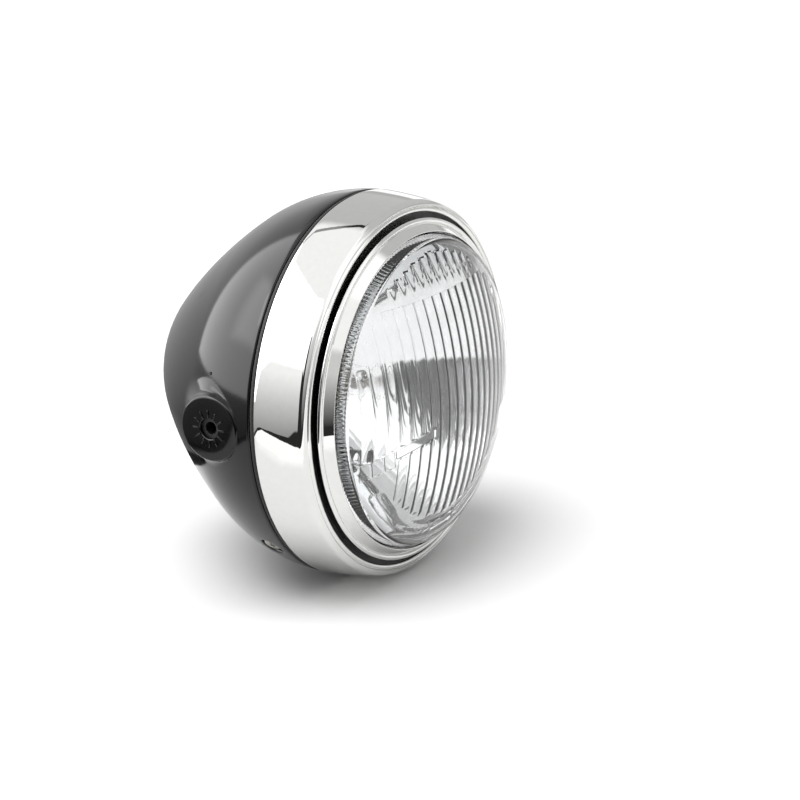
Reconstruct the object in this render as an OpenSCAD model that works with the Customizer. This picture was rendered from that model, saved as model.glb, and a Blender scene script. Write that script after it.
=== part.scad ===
// Round motorcycle headlight, seven inch class, in millimetres.
// The lamp's optical axis runs along Y and the lens faces -Y. +Z is up and -X is the rider's right.
// The origin is where the axis of the two side bolts crosses the optical axis.
// A station is a distance forward from the side bolt axis, so a point at station t lies at y = -t.
// A lathe profile is drawn as [radius, station] pairs.

/* [Shell] */
// How far the shell's shoulder lies inside the rim's rear edge
shell_set = 0.1; // [0:0.05:1]
// Sheet thickness of the shell
shell_wall = 1.2; // [0.8:0.1:2]
// Distance from the side bolt axis forward to the rim's rear edge
bolt_back = 28; // [24:0.5:32]
// Slope of the shell's side at the shoulder, in degrees from the optical axis
nose_slope = 1; // [0:0.5:4]
// Radius of the arc that turns the front of the bowl inwards
nose_r = 87; // [78:1:96]
// Slope where the flank begins
flank_slope = 33.3; // [28:0.1:38]
// Radius of the long, almost straight flank
flank_r = 300; // [240:5:400]
// Slope where the rounded tail begins
tail_slope = 46.1; // [42:0.1:50]
// Width of the step from the shoulder in to the collar that enters the rim
shoulder_width = 3.7; // [3.2:0.1:4.2]
// Length of the collar in front of the shoulder
collar_len = 7; // [5:0.5:8]

/* [Side bosses] */
// How far a boss's flat face stands out past the shoulder
boss_proud = 0.1; // [0:0.1:3]
// Radius of the flat face
boss_r = 17.7; // [16:0.1:20]
// Radius of the hole in the flat face
boss_hole_r = 5.7; // [5:0.1:7]
// Wall thickness of the boss
boss_wall = 2; // [1.5:0.1:2.5]
// Number of raised index marks round the hole
boss_marks = 12; // [6:1:24]
// Radius at which the index marks end
mark_end_r = 10; // [8:0.5:13]
// Wall radius of the bolt thread, M8
bolt_thread_r = 3.4; // [2.5:0.1:4.2]
// Length of the threaded bush
bush_len = 16; // [10:0.5:20]

/* [Cable opening] */
// Radius of the hole in the shell's tail
cable_hole_r = 11; // [8:0.5:13]
// Radius of the flat seat round the hole
cable_flat_r = 17; // [16:0.5:18]
// How far the hole points down from the optical axis, in degrees
cable_angle = 26; // [18:1:28]
// Radius of the grommet's bore
cable_bore_r = 7.5; // [5:0.5:9]

/* [Seal between shell and rim] */
// Thickness of the seal along the axis
seal_thick = 3; // [2:0.5:4]

/* [Rim] */
// Outer radius at the rear edge
rim_r = 104; // [96:0.5:112]
// How much smaller the radius is where the front bead starts
rim_rake = 3; // [1:0.1:4]
// Length of the conical band
rim_depth = 25; // [22:0.5:30]
// Sheet thickness of the rim
rim_wall = 1; // [0.7:0.1:1.2]
// Radius of the front bead
bead_r = 4.2; // [3.6:0.1:5]
// Width from the start of the bead in to the lip's rolled edge
lip_width = 6.6; // [6:0.1:7.2]
// Radius of the lip's rolled edge
lip_roll_r = 1.4; // [1:0.1:1.6]

/* [Rim fixings] */
// Station of the two rim screws
screw_station = 13; // [11:0.5:15]
// Angle of the rim screws from the top of the lamp
screw_angle = 135; // [125:1:145]
// Radius of the recess round a screw head
recess_r = 6.2; // [5.6:0.1:7]
// Shank radius, M5
screw_r = 2.45; // [2:0.05:3]
// Head radius of a rim screw
screw_head_r = 5.2; // [4:0.1:5.4]
// Width of the lugs and of the hook
lug_width = 14; // [12:0.5:18]
// Sheet thickness of the lugs and of the hook
lug_wall = 1.5; // [1:0.1:2]

/* [Lens holding rings] */
// Gap from the rim's front radius in to the black mounting ring
mount_gap = 2.8; // [2.2:0.1:3.6]
// Depth of its outer flange
mount_ring_depth = 10; // [7:0.5:11]
// Sheet thickness of the mounting ring
mount_ring_wall = 1.2; // [0.8:0.1:1.5]
// Open gap between the rim's lip and the chrome inner ring
bezel_gap = 2.7; // [1.5:0.1:3.4]
// Width of the inner ring from its bead in to its front edge
bezel_width = 7.1; // [6.6:0.1:7.6]
// How far the inner ring stands in front of the mounting ring
bezel_height = 13.4; // [12:0.1:15]
// Sheet thickness of the inner ring
bezel_wall = 1; // [0.7:0.1:1.2]

/* [Lens] */
// Gap from the inner ring's largest radius in to the lens's foot
foot_gap = 4.7; // [4.2:0.1:5.2]
// How far the ribbed shoulder leans in before it meets the dome
shoulder_lean = 2.7; // [1.5:0.1:4]
// Height of the dome over that radius
dome_height = 19.3; // [14:0.1:24]
// Thickness of the glass
glass = 3.5; // [2.5:0.1:4.5]
// Height of the ribbed shoulder in front of the inner ring
shoulder_height = 4.6; // [3:0.1:6]
// Number of ribs round the shoulder
shoulder_ribs = 216; // [120:4:240]
// Depth of the grooves between the ribs
rib_depth = 0.6; // [0.3:0.05:0.8]
// Distance between the vertical flutes on the inner face
flute_pitch = 7.5; // [6.5:0.1:10]
// How far a flute of the main field stands out from the inner face
flute_height = 0.4; // [0.3:0.05:0.8]
// How far a flute of the top band stands out at its upper end
band_height = 1.2; // [0.8:0.1:1.4]
// Height of the plain line between the main field and the top band
top_line = 56; // [53:1:58]
// Radius of the circle on which the main field ends below
foot_r = 64; // [60:1:68]

/* [Reflector] */
// Width of the flange round the reflector's mouth
flange_width = 9; // [8.5:0.5:11]
// Focal length of the reflector
focal = 27; // [25:0.5:30]
// Inner radius of the neck
neck_r = 21; // [20:0.5:23]
// Sheet thickness of the reflector
reflector_wall = 1; // [0.7:0.1:1.2]

/* [Bulbs] */
// Radius of the main bulb's glass
bulb_r = 8.5; // [7:0.1:9]
// Length of the main bulb's glass
bulb_len = 45.5; // [40:0.5:50]
// Distance from the main bulb down to the parking bulb
parking_drop = 44; // [42:0.5:48]
// Radius of the parking bulb's glass
parking_r = 4.4; // [3:0.1:4.8]

/* [Clearances] */
// Gap round a piece that sits inside another
fit_gap = 0.2; // [0.1:0.05:0.4]
// Gap between a threaded shank and its nut
thread_gap = 0.05; // [0.02:0.01:0.1]

/* [Hidden] */
$fn = 96;

black_paint = "#1b1b1c";
rubber = "#222222";
chrome = "#d8dadc";
zinc = "#b9bab4";
clear_glass = [0.85, 0.92, 0.95, 0.45];

// Length by which a cutting tool runs past what it cuts
cut = 20;

// Radii that follow from the sizes above, from the rim inwards
rim_front_r = rim_r - rim_rake;
lip_r = rim_front_r - lip_width;
shell_r = rim_r - shell_set;
collar_r = shell_r - shoulder_width;
boss_face = shell_r + boss_proud;
mount_ring_r = rim_front_r - mount_gap;
bezel_r = lip_r - bezel_gap;
bezel_lip_r = bezel_r - bezel_width;
lens_foot_r = bezel_r - foot_gap;
mouth_r = lens_foot_r - flange_width;
mount_hole_r = mouth_r + 4;

// Stations that follow from the sizes above
rim_back = bolt_back;
shoulder = rim_back - seal_thick;
collar_front = shoulder + collar_len;
rim_bead = rim_back + rim_depth;
lip_set = 2;
lip_back = rim_bead - lip_set;
bezel_front = lip_back + bezel_height;

// Plane geometry
function unit(v) = v / norm(v);
function left_of(v) = [-v.y, v.x];
function edge(path, i) = unit(path[i + 1] - path[i]);
function corner_shift(path, i) =
    let (last = len(path) - 1,
         before = left_of(edge(path, max(i - 1, 0))),
         after = left_of(edge(path, min(i, last - 1))))
    (before + after) / (1 + before * after);
// Outline of a bent sheet whose one face follows the path and whose other face lies to its left
function sheet(path, wall) =
    concat(path, [for (i = [len(path) - 1:-1:0]) path[i] + wall * corner_shift(path, i)]);
function on_circle(centre, r, a) = centre + r * [cos(a), sin(a)];
function arc(centre, r, from, to, steps) =
    [for (i = [0:steps]) on_circle(centre, r, from + (to - from) * i / steps)];

// A lathe turns a [radius, station] profile about the optical axis
module lathe() {
    rotate([90, 0, 0]) rotate_extrude() children();
}
// A strip is a [radius, station] outline extruded sideways, placed at an angle from the top
module strip(angle, width) {
    rotate([0, angle, 0]) rotate([180, -90, 0]) linear_extrude(width, center = true) children();
}
// Children are drawn with +Z pointing away from the optical axis, at an angle from the top
module radially(angle, station) {
    rotate([0, angle, 0]) translate([0, -station, 0]) children();
}
// Children are drawn with +Z pointing out of the side of the lamp, towards -X or +X
module out_of_side(side) {
    rotate([0, 90 * side, 0]) children();
}
// Children are drawn with +Z pointing out of the flat on the shell's tail
module out_of_tail() {
    translate([0, -tail_centre.y, 0]) rotate([-90 - cable_angle, 0, 0])
        translate([0, 0, tail_flat]) children();
}

// Shell
shoulder_round = 1;
nose_centre = [shell_r, shoulder] - nose_r * [cos(nose_slope), -sin(nose_slope)];
flank_centre = nose_centre + (nose_r - flank_r) * [cos(flank_slope), -sin(flank_slope)];
tail_join = on_circle(flank_centre, flank_r, -tail_slope);
tail_r = tail_join.x / cos(tail_slope);
tail_centre = [0, tail_join.y + tail_r * sin(tail_slope)];
tail_flat = sqrt(tail_r * tail_r - cable_flat_r * cable_flat_r);
// Slope at which the bowl, taken inset inwards, crosses a station near the shoulder
function slope_at(inset, station) = asin((nose_centre.y - station) / (nose_r - inset));
function bowl(inset, from) = concat(
    arc(nose_centre, nose_r - inset, -from, -flank_slope, 12),
    arc(flank_centre, flank_r - inset, -flank_slope - 1, -tail_slope, 5),
    arc(tail_centre, tail_r - inset, -tail_slope - 3, -90, 12));
// Outer radius of the bowl at a station on its nose arc
function bowl_r(station) = nose_centre.x + nose_r * cos(slope_at(0, station));

module bowl_solid(inset, collar_end) {
    back = shoulder - inset;
    round_r = shoulder_round + inset;
    slope = slope_at(inset, back - shoulder_round);
    lathe() polygon(concat(
        [[0, collar_end], [collar_r - inset, collar_end], [collar_r - inset, back],
         [bowl_r(back) - inset - shoulder_round, back]],
        bowl(inset, slope)));
}
module bowl_body(inset, collar_end) {
    difference() {
        bowl_solid(inset, collar_end);
        out_of_tail() translate([0, 0, -inset]) cylinder(r = 2 * cable_flat_r, h = tail_r);
    }
}
// A boss flares from its flat face down to the bowl
boss_edge = 1.6;
boss_draft = 12;
boss_side = 2;
least_edge = 0.3;
flare_r = 12;
flare_end = 32;
// Distance from the flat face down to where a boss's solid ends inside the bowl
boss_depth = 26;
module boss_body(inset) {
    edge_centre = [boss_r - boss_edge, boss_face - boss_edge];
    side_start = on_circle(edge_centre, boss_edge, boss_draft);
    flare_centre = side_start + flare_r * [cos(boss_draft), sin(boss_draft)]
        + boss_side * [sin(boss_draft), -cos(boss_draft)];
    flare = arc(flare_centre, flare_r + inset, 180 + boss_draft, 180 + flare_end, 5);
    foot = flare[len(flare) - 1];
    boss_root = boss_face - boss_depth;
    drop = foot.y - boss_root;
    top = boss_face - inset;
    rotate_extrude() polygon(concat(
        [[0, boss_root], [foot.x + drop * tan(flare_end), boss_root]],
        [for (i = [len(flare) - 1:-1:0]) flare[i]],
        arc(edge_centre, boss_edge - min(inset, boss_edge - least_edge), boss_draft, 90, 4),
        [[0, top]]));
}
module shell() {
    color(black_paint) difference() {
        union() {
            bowl_body(0, collar_front);
            for (side = [-1, 1]) out_of_side(side) boss_body(0);
            for (side = [-1, 1]) out_of_side(side) boss_index();
            radially(-pip_angle, pip_station) pip();
        }
        difference() {
            union() {
                bowl_body(shell_wall, collar_front + 1);
                for (side = [-1, 1]) out_of_side(side) boss_body(boss_wall);
            }
            for (side = [-1, 1]) radially(side * screw_angle, screw_station)
                translate([0, 0, lug_seat]) cylinder(r = recess_r + shell_wall, h = cut);
        }
        for (side = [-1, 1]) {
            out_of_side(side) cylinder(r = boss_hole_r, h = boss_face + cut);
            radially(side * screw_angle, screw_station) {
                translate([0, 0, lug_seat + shell_wall]) cylinder(r = recess_r, h = cut);
                cylinder(r = screw_r + 2 * fit_gap, h = boss_face);
            }
        }
        out_of_tail() translate([0, 0, -cut]) cylinder(r = cable_hole_r, h = 2 * cut);
    }
}
mark_width = 1;
mark_height = 0.5;
mark_start_r = boss_hole_r + 0.4;
module boss_index() {
    for (i = [1:boss_marks]) rotate([0, 0, i * 360 / boss_marks])
        translate([mark_start_r, -mark_width / 2, boss_face - mark_height])
            cube([mark_end_r - mark_start_r, mark_width, 2 * mark_height]);
}
// A small pip on the shell beside the right boss
pip_angle = 74.4;
pip_station = -4;
pip_r = 1;
pip_height = 0.7;
module pip() {
    translate([0, 0, bowl_r(pip_station) - shell_wall / 2]) cylinder(r = pip_r, h = shell_wall / 2 + pip_height);
}

// Threaded bushes behind the boss faces
bush_r = 8;
bush_flange_r = 13;
bush_flange = 2.5;
module side_insert(side) {
    seat = boss_face - boss_wall;
    color(zinc) out_of_side(side) difference() {
        union() {
            translate([0, 0, seat - bush_flange]) cylinder(r = bush_flange_r, h = bush_flange);
            translate([0, 0, seat - bush_len]) cylinder(r = bush_r, h = bush_len);
        }
        translate([0, 0, seat - bush_len - cut]) cylinder(r = bolt_thread_r, h = bush_len + 2 * cut);
    }
}
module side_insert_right() { side_insert(-1); }
module side_insert_left() { side_insert(1); }

// The seal stays a little inside the rim
seal_set = 0.3;
module shell_seal() {
    crown = seal_thick / 2;
    middle = [rim_r - seal_set - crown, shoulder + crown];
    color(rubber) lathe() polygon(concat(
        [[collar_r + fit_gap, shoulder]], arc(middle, crown, -90, 90, 8), [[collar_r + fit_gap, rim_back]]));
}

// Rim
rim_taper = atan((rim_r - rim_front_r) / rim_depth);
bead_centre = [rim_front_r, rim_bead] - bead_r * [cos(rim_taper), sin(rim_taper)];
lip_rise = 2.8;
lip_centre = [lip_r + lip_roll_r, rim_bead + lip_rise];
// The bottom of the groove between the bead and the rolled lip
groove_set = 0.1;
groove = lip_centre + [lip_roll_r + groove_set, groove_set];
bead_end = 74;
inner_bead_end = 88;
lip_start = 40;
rear_round = 0.5;
// Inner radius of the conical band at a station
function rim_bore(station) = rim_r - rim_wall - (station - rim_back) * tan(rim_taper);
module rim() {
    color(chrome) lathe() polygon(concat(
        [[rim_r - rim_wall, rim_back]],
        arc([rim_r - rear_round, rim_back + rear_round], rear_round, -90, rim_taper, 5),
        arc(bead_centre, bead_r, rim_taper, bead_end, 8),
        [groove],
        arc(lip_centre, lip_roll_r, lip_start, 180, 8),
        [[lip_r, lip_back], [lip_r + rim_wall, lip_back],
         [lip_r + rim_wall, lip_centre.y - rim_wall]],
        arc(bead_centre, bead_r - rim_wall, inner_bead_end, rim_taper, 6)));
}

// Lugs and hook inside the rim
wall_gap = 0.35;
pad_reach = 12;
pad_len = 5.5;
seat_set = 0.7;
step_gap = 1.4;
lug_tail = 8;
hook_tip = 1.3;
pad_front = rim_back + pad_reach;
pad_back = pad_front - pad_len;
lug_seat = collar_r - shell_wall - seat_set;
lug_step = collar_front + step_gap;
lug_pad = [[rim_bore(pad_back) - wall_gap, pad_back], [rim_bore(pad_front) - wall_gap, pad_front]];
module rim_lug(side) {
    path = concat([[lug_seat, screw_station - lug_tail], [lug_seat, lug_step]], lug_pad);
    color(zinc) difference() {
        strip(side * screw_angle, lug_width) polygon(sheet(path, lug_wall));
        radially(side * screw_angle, screw_station) translate([0, 0, lug_seat - cut])
            cylinder(r = screw_r + 2 * fit_gap, h = 2 * cut);
    }
}
module rim_lug_right() { rim_lug(-1); }
module rim_lug_left() { rim_lug(1); }
module rim_hook() {
    face = shoulder - shell_wall - fit_gap;
    path = concat([[collar_r + hook_tip, face], [lug_seat, face], [lug_seat, lug_step]], lug_pad);
    color(zinc) strip(0, lug_width) polygon(sheet(path, lug_wall));
}
nut_width = 9;
nut_height = 4;
module rim_nuts() {
    color(zinc) for (side = [-1, 1]) radially(side * screw_angle, screw_station) difference() {
        translate([-nut_width / 2, -nut_width / 2, lug_seat - lug_wall - nut_height])
            cube([nut_width, nut_width, nut_height]);
        translate([0, 0, lug_seat - cut]) cylinder(r = screw_r + thread_gap, h = 2 * cut);
    }
}
head_height = 2.4;
head_round = 1.2;
screw_end = 2;
// Length, width and depth of the cross recess in a screw head
cross = [5.2, 1, 1.3];
module rim_screws() {
    seat = lug_seat + shell_wall;
    length = shell_wall + lug_wall + nut_height + screw_end;
    color(zinc) for (side = [-1, 1]) radially(side * screw_angle, screw_station)
        translate([0, 0, seat]) difference() {
            union() {
                translate([0, 0, -length]) cylinder(r = screw_r, h = length + head_height / 2);
                rotate_extrude() polygon(concat([[0, 0], [screw_head_r, 0]],
                    arc([screw_head_r - head_round, head_height - head_round - 0.2], head_round, 0, 70, 5),
                    [[0, head_height]]));
            }
            for (turn = [0, 90]) rotate([0, 0, turn])
                translate([-cross.x / 2, -cross.y / 2, head_height - cross.z]) cube([cross.x, cross.y, cut]);
        }
}

// Rings that hold the lens
mount_neck = 5;
module ring_slots() {
    for (angle = tab_angles) strip(angle, tab_width + 2 * fit_gap)
        translate([skirt_r - bezel_wall - fit_gap, lip_back - cut / 2]) square([bezel_wall + 2 * fit_gap, cut]);
}
module mounting_ring() {
    rear = lip_back - mount_ring_depth;
    path = [[mount_ring_r, rear], [mount_ring_r, lip_back], [mount_hole_r, lip_back],
        [mount_hole_r, lip_back - mount_neck]];
    color(rubber) difference() {
        lathe() polygon(sheet(path, mount_ring_wall));
        ring_slots();
    }
}
clip_angles = [60, 180, 300];
clip_width = 16;
clip_wall = 0.8;
clip_tail = 7;
clip_bend = 1.5;
clip_hook = [4.4, 5];
// A flat clip's edges reach further out than its middle by the sag of its width in the round rim
clip_gap = clip_width * clip_width / (8 * rim_r) + thread_gap;
module ring_clips() {
    rear = lip_back - mount_ring_depth;
    path = [[rim_bore(rear - clip_tail) - clip_gap, rear - clip_tail],
        [rim_bore(rear - clip_bend) - clip_gap, rear - clip_bend],
        [mount_ring_r + clip_wall, rear], [mount_ring_r - clip_hook.x / 2, rear],
        [mount_ring_r - clip_hook.x, rear - clip_hook.y]];
    color(zinc) for (angle = clip_angles) strip(angle, clip_width) polygon(sheet(path, clip_wall));
}

// Inner ring, with four tabs folded over behind the mounting ring
bezel_bead_r = 1.5;
skirt_set = 0.5;
skirt_r = bezel_r - skirt_set;
tab_width = 12;
tab_len = 5;
tab_angles = [30, 150, 210, 330];
// Breadth and height of the cone round the glass
bezel_cone = [3.2, 4.4];
cone_foot = [bezel_r - bezel_cone.x, bezel_front - bezel_cone.y];
cone_top = [bezel_lip_r, bezel_front];
cone_slope = atan((cone_top.y - cone_foot.y) / (cone_foot.x - cone_top.x));
// Station of the face of the inner ring's cone that touches the glass side, at a radius
function bezel_under(r) = cone_top.y - (r - cone_top.x) * tan(cone_slope) - bezel_wall / cos(cone_slope);
module inner_ring() {
    bead = [bezel_r - bezel_bead_r, cone_foot.y - 1.4];
    bore = skirt_r - bezel_wall;
    rest = bore - 0.8;
    color(chrome) {
        lathe() polygon(concat(
            [[bore, lip_back], [skirt_r, lip_back], [skirt_r, bead.y - bezel_bead_r / 2]],
            arc(bead, bezel_bead_r, -20, 130, 8),
            [cone_foot, cone_top, [bezel_lip_r - 0.1, bezel_under(bezel_lip_r) + bezel_wall / 2],
             [bezel_lip_r, bezel_under(bezel_lip_r)], [rest, bezel_under(rest)], [bore, bead.y - 1.6]]));
        for (angle = tab_angles) strip(angle, tab_width) bezel_tab();
    }
}
// A tab is flat, so it is a little thinner than the round skirt that it runs up into
module bezel_tab() {
    sag = skirt_r - sqrt(skirt_r * skirt_r - tab_width * tab_width / 4);
    outer = skirt_r - sag - thread_gap;
    inner = skirt_r - bezel_wall + thread_gap;
    root = lip_back + 1;
    back = lip_back - mount_ring_wall - fit_gap;
    polygon([[inner, root], [inner, back], [inner - tab_len, back], [inner - tab_len, back - bezel_wall],
        [outer, back - bezel_wall], [outer, root]]);
}

// Lens
flange_front = lip_back + reflector_wall;
lens_seal_thick = 1.5;
lens_back = flange_front + lens_seal_thick;
dome_station = bezel_front + shoulder_height;
lip_gap = 0.3;
dome_r = bezel_lip_r - lip_gap - shoulder_lean;
dome_sphere = (dome_r * dome_r + dome_height * dome_height) / (2 * dome_height);
dome_centre = dome_station + dome_height - dome_sphere;
shoulder_set = 1.4;
shoulder_top_r = bezel_lip_r - lip_gap;
shoulder_station = bezel_front - shoulder_set;
lens_bore_r = mouth_r + 0.5;
// Grooves all round the shoulder leave a crown of ribs
module rib_grooves() {
    pitch = 360 / shoulder_ribs;
    crest_r = shoulder_top_r + 0.05;
    groove_r = crest_r - shoulder_lean - rib_depth;
    rotate([90, 0, 0]) translate([0, 0, shoulder_station])
        linear_extrude(dome_station - shoulder_station - 0.5) difference() {
            circle(r = lens_foot_r);
            polygon([for (i = [0:shoulder_ribs - 1], half = [0, 1])
                on_circle([0, 0], half == 0 ? crest_r : groove_r, (i + half / 2) * pitch)]);
        }
}
flute_land = 0.8;
field_rim = 3;
line_half = 0.5;
inner_sphere = dome_sphere - glass;
flute_chord = flute_pitch - flute_land;
// A flute is a convex bar that follows the curved inner face from height low to height high.
// With a shift, its track turns inwards, so that the bar rises out of the glass from height low on.
module flute(x, low, high, height, shift = 0) {
    bar_r = (flute_chord * flute_chord / 4 + height * height) / (2 * height);
    tilt = asin(x / inner_sphere);
    outermost = abs(x) + flute_pitch / 2;
    reach = sqrt(lens_bore_r * lens_bore_r - outermost * outermost) - field_rim;
    track = inner_sphere * cos(tilt);
    first = max(low, -reach);
    from = asin((first + shift) / track);
    to = asin((min(high, reach) + shift) / track);
    sink = shift == 0 ? 0 : height + sqrt(track * track - first * first) - track * cos(from);
    if (to > from + 1) translate([0, -dome_centre - sink, -shift]) rotate([0, 90, 0]) rotate([0, 0, -90 - to])
        rotate_extrude(angle = to - from) intersection() {
            circle(r = inner_sphere + 1);
            translate((inner_sphere - height + bar_r) * [cos(tilt), sin(tilt)]) circle(r = bar_r);
        }
}
// Prism pads and a narrow bar lie below a slanted line, on the side that meets the oncoming road
slant = 9.5;
slant_height = -20;
slant_gap = 1.1;
pad_count = 3;
pad_height = 8.5;
bar_len = 28;
bar_width = 4.5;
relief = 0.7;
pad_foot = slant_height - pad_height;
slant_start = 1 - sqrt(lens_bore_r * lens_bore_r - pad_foot * pad_foot);
slant_end = slant_start + (pad_count * flute_pitch + bar_len) * cos(slant);
function slant_line(x) = slant_height + (x - slant_start) * tan(slant);
module slant_relief() {
    intersection() {
        translate([slant_start, -dome_centre - dome_sphere, slant_height]) rotate([0, -slant, 0]) {
            for (i = [0:pad_count - 1]) translate([i * flute_pitch, 0, -pad_height])
                cube([flute_pitch - 2 * line_half, dome_sphere, pad_height]);
            translate([pad_count * flute_pitch, 0, -bar_width]) cube([bar_len, dome_sphere, bar_width]);
        }
        translate([0, -dome_centre, 0]) difference() {
            sphere(r = inner_sphere + 1);
            sphere(r = inner_sphere - relief);
        }
    }
}
// The flutes: a band at the top whose bars rise upwards, and a main field that the slanted line divides
flute_count = floor((lens_bore_r - field_rim - 1) / flute_pitch);
band_gap = 1.5;
band_turn = 12;
low_field_start = -49;
least_foot = 20;
module flutes() {
    for (i = [-flute_count:flute_count]) {
        x = i * flute_pitch;
        foot = -sqrt(max(foot_r * foot_r - x * x, least_foot * least_foot));
        flute(x, top_line + band_gap, lens_bore_r, band_height, band_turn);
        if (x - flute_pitch / 2 > slant_end) flute(x, foot, top_line - line_half, flute_height);
        else {
            flute(x, slant_line(x) + slant_gap, top_line - line_half, flute_height);
            if (x - flute_pitch / 2 > low_field_start)
                flute(x, foot, slant_line(x) - bar_width - slant_gap, flute_height);
        }
    }
}
module lens() {
    foot_top = bezel_under(lens_foot_r) - fit_gap;
    step_r = shoulder_top_r + 0.2;
    color(clear_glass) {
        difference() {
            lathe() intersection() {
                translate([0, dome_centre]) circle(r = dome_sphere);
                polygon([[0, lens_back], [lens_foot_r, lens_back], [lens_foot_r, foot_top],
                    [step_r, bezel_under(step_r) - fit_gap], [shoulder_top_r, shoulder_station],
                    [dome_r, dome_station], [dome_r, 200], [0, 200]]);
            }
            rib_grooves();
            lathe() intersection() {
                translate([0, dome_centre]) circle(r = inner_sphere);
                translate([0, lens_back - 1]) square([lens_bore_r, 100]);
            }
        }
        flutes();
        slant_relief();
    }
}
module lens_seal() {
    color(rubber) lathe() translate([lens_bore_r + 1, flange_front])
        square([lens_foot_r - lens_bore_r - 1.5, lens_seal_thick]);
}

// Reflector, a paraboloid whose mouth joins the flange
vertex = lip_back - mouth_r * mouth_r / (4 * focal);
function bowl_station(r) = vertex + r * r / (4 * focal);
neck_end = bowl_station(neck_r) - 4.8;
bowl_points = [for (i = [0:20]) let (r = mouth_r + (neck_r - mouth_r) * i / 20) [r, bowl_station(r)]];
tube_wall = 3.1;
tube_len = 9;
tube_bore_r = parking_r + tube_wall;
tube_end = bowl_station(parking_drop) - tube_len;
module parking_axis() { translate([0, 0, -parking_drop]) children(); }
module reflector() {
    path = concat([[lens_foot_r, flange_front], [mouth_r + 1, flange_front]], bowl_points, [[neck_r, neck_end]]);
    color("#e6e7e8") difference() {
        union() {
            lathe() polygon(sheet(path, reflector_wall));
            parking_axis() lathe() translate([0, tube_end])
                square([tube_bore_r + reflector_wall, lip_back - tube_end - 20]);
        }
        lathe() polygon(concat([[0, flange_front - 1]], bowl_points, [[0, vertex]]));
        parking_axis() lathe() translate([0, tube_end - 1]) square([tube_bore_r, 30]);
    }
}

// Main bulb and what holds it. The bulb's reference plane is the front of its collar.
seat_wall = 1.5;
bore_set = 1.4;
seat_bore_r = neck_r - bore_set;
seat_width = 11.4;
seat_r = seat_bore_r + seat_width;
seat_back = neck_end - seat_wall;
bulb_tab_angles = [0, 120, 240];
bulb_tab = [8, 1.3, 3];
wire_r = 0.9;
wire_gap = 0.4;
wire_set = 4;
wire_reach = seat_r - wire_set;
collar_wall = 1.2;
wire_station = seat_back - collar_wall - wire_r;
// The bulb's flange laps the seat's bore, and its cup and base fit inside the wire loop
collar_lap = 2.7;
cup_set = 3.3;
base_set = 2;
bulb_collar_r = seat_bore_r + collar_lap;
cup_r = bulb_collar_r - cup_set;
base_r = cup_r - base_set;
wire_loop_r = cup_r + wire_gap + wire_r;
module ear(x, z, width, length) {
    translate([x, -seat_back, z]) translate([-width / 2, 0, -length / 2])
        cube([width, collar_wall + 2 * wire_r + 1, length]);
}
module bulb_seat() {
    ear_wall = 1.2;
    color(zinc) difference() {
        union() {
            lathe() translate([seat_bore_r, seat_back]) square([seat_r - seat_bore_r, seat_wall]);
            for (z = [-5, 5]) ear(-wire_reach, z, 4.4, ear_wall);
            ear(wire_reach + wire_r + 0.8, 0, ear_wall, 8);
            translate([wire_reach - wire_r, -seat_back + collar_wall + 2 * wire_r + fit_gap, -4])
                cube([2 * wire_r + 1.4, ear_wall, 8]);
        }
        for (angle = bulb_tab_angles) strip(angle, bulb_tab.x + 2 * fit_gap)
            translate([seat_bore_r - 2, seat_back - 1]) square([bulb_tab.z + 2 + fit_gap, 1 + bulb_tab.y + fit_gap]);
        translate([-wire_reach, -wire_station, -8]) cylinder(r = wire_r + fit_gap, h = 16);
    }
}
// A straight length of wire that runs a little past both of its ends
module rod(a, b, r = wire_r) {
    v = unit(b - a);
    reach = wire_r * 0.8;
    translate(a - reach * v) rotate([0, acos(v.z), atan2(v.y, v.x)]) cylinder(r = r, h = norm(b - a) + 2 * reach);
}
module bulb_clip() {
    hinge_z = 9.6;
    catch_z = 2.8;
    arm_r = wire_r * 0.94;
    from = asin(catch_z / wire_loop_r);
    to = 180 - asin(hinge_z / wire_loop_r);
    color(zinc) translate([0, -wire_station, 0]) {
        rod([-wire_reach, 0, -hinge_z], [-wire_reach, 0, hinge_z]);
        rod([wire_reach, 0, -catch_z], [wire_reach, 0, catch_z]);
        for (up = [-1, 1]) {
            rod([-wire_reach, 0, up * hinge_z], [wire_loop_r * cos(to), 0, up * hinge_z], arm_r);
            rod([wire_reach, 0, up * catch_z], [wire_loop_r * cos(from), 0, up * catch_z], arm_r);
            rotate([90 * up, 0, 0]) rotate([0, 0, from]) rotate_extrude(angle = to - from)
                translate([wire_loop_r, 0]) circle(r = wire_r);
        }
    }
}
cup_len = 11.3;
base_len = 6;
base_gap = 3.3;
cup_back = seat_back - collar_wall - cup_len;
module bulb_collar() {
    tower_r = bulb_r + fit_gap;
    color(zinc) {
        lathe() polygon([[0, seat_back], [tower_r, seat_back], [tower_r, seat_back + 8],
            [tower_r + 1.6, seat_back + 8], [tower_r + 1.6, seat_back], [bulb_collar_r, seat_back],
            [bulb_collar_r, seat_back - collar_wall], [cup_r, seat_back - collar_wall], [cup_r, cup_back],
            [base_r + fit_gap, cup_back], [base_r + fit_gap, seat_back - collar_wall],
            [0, seat_back - collar_wall]]);
        for (angle = bulb_tab_angles) strip(angle, bulb_tab.x)
            translate([seat_bore_r, seat_back - collar_wall])
                square([bulb_tab.z - 0.4, collar_wall + bulb_tab.y]);
    }
}
bulb_wall = 1.1;
module bulb_glass() {
    tip = seat_back + bulb_len;
    tip_round = 3.5;
    color(clear_glass) lathe() polygon(concat(
        [[0, seat_back], [bulb_r, seat_back]],
        arc([bulb_r - tip_round, tip - tip_round], tip_round, 0, 90, 6),
        [[0, tip], [0, tip - bulb_wall]],
        arc([bulb_r - tip_round, tip - tip_round], tip_round - bulb_wall, 90, 0, 6),
        [[bulb_r - bulb_wall, seat_back + bulb_wall], [0, seat_back + bulb_wall]]));
}
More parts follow.
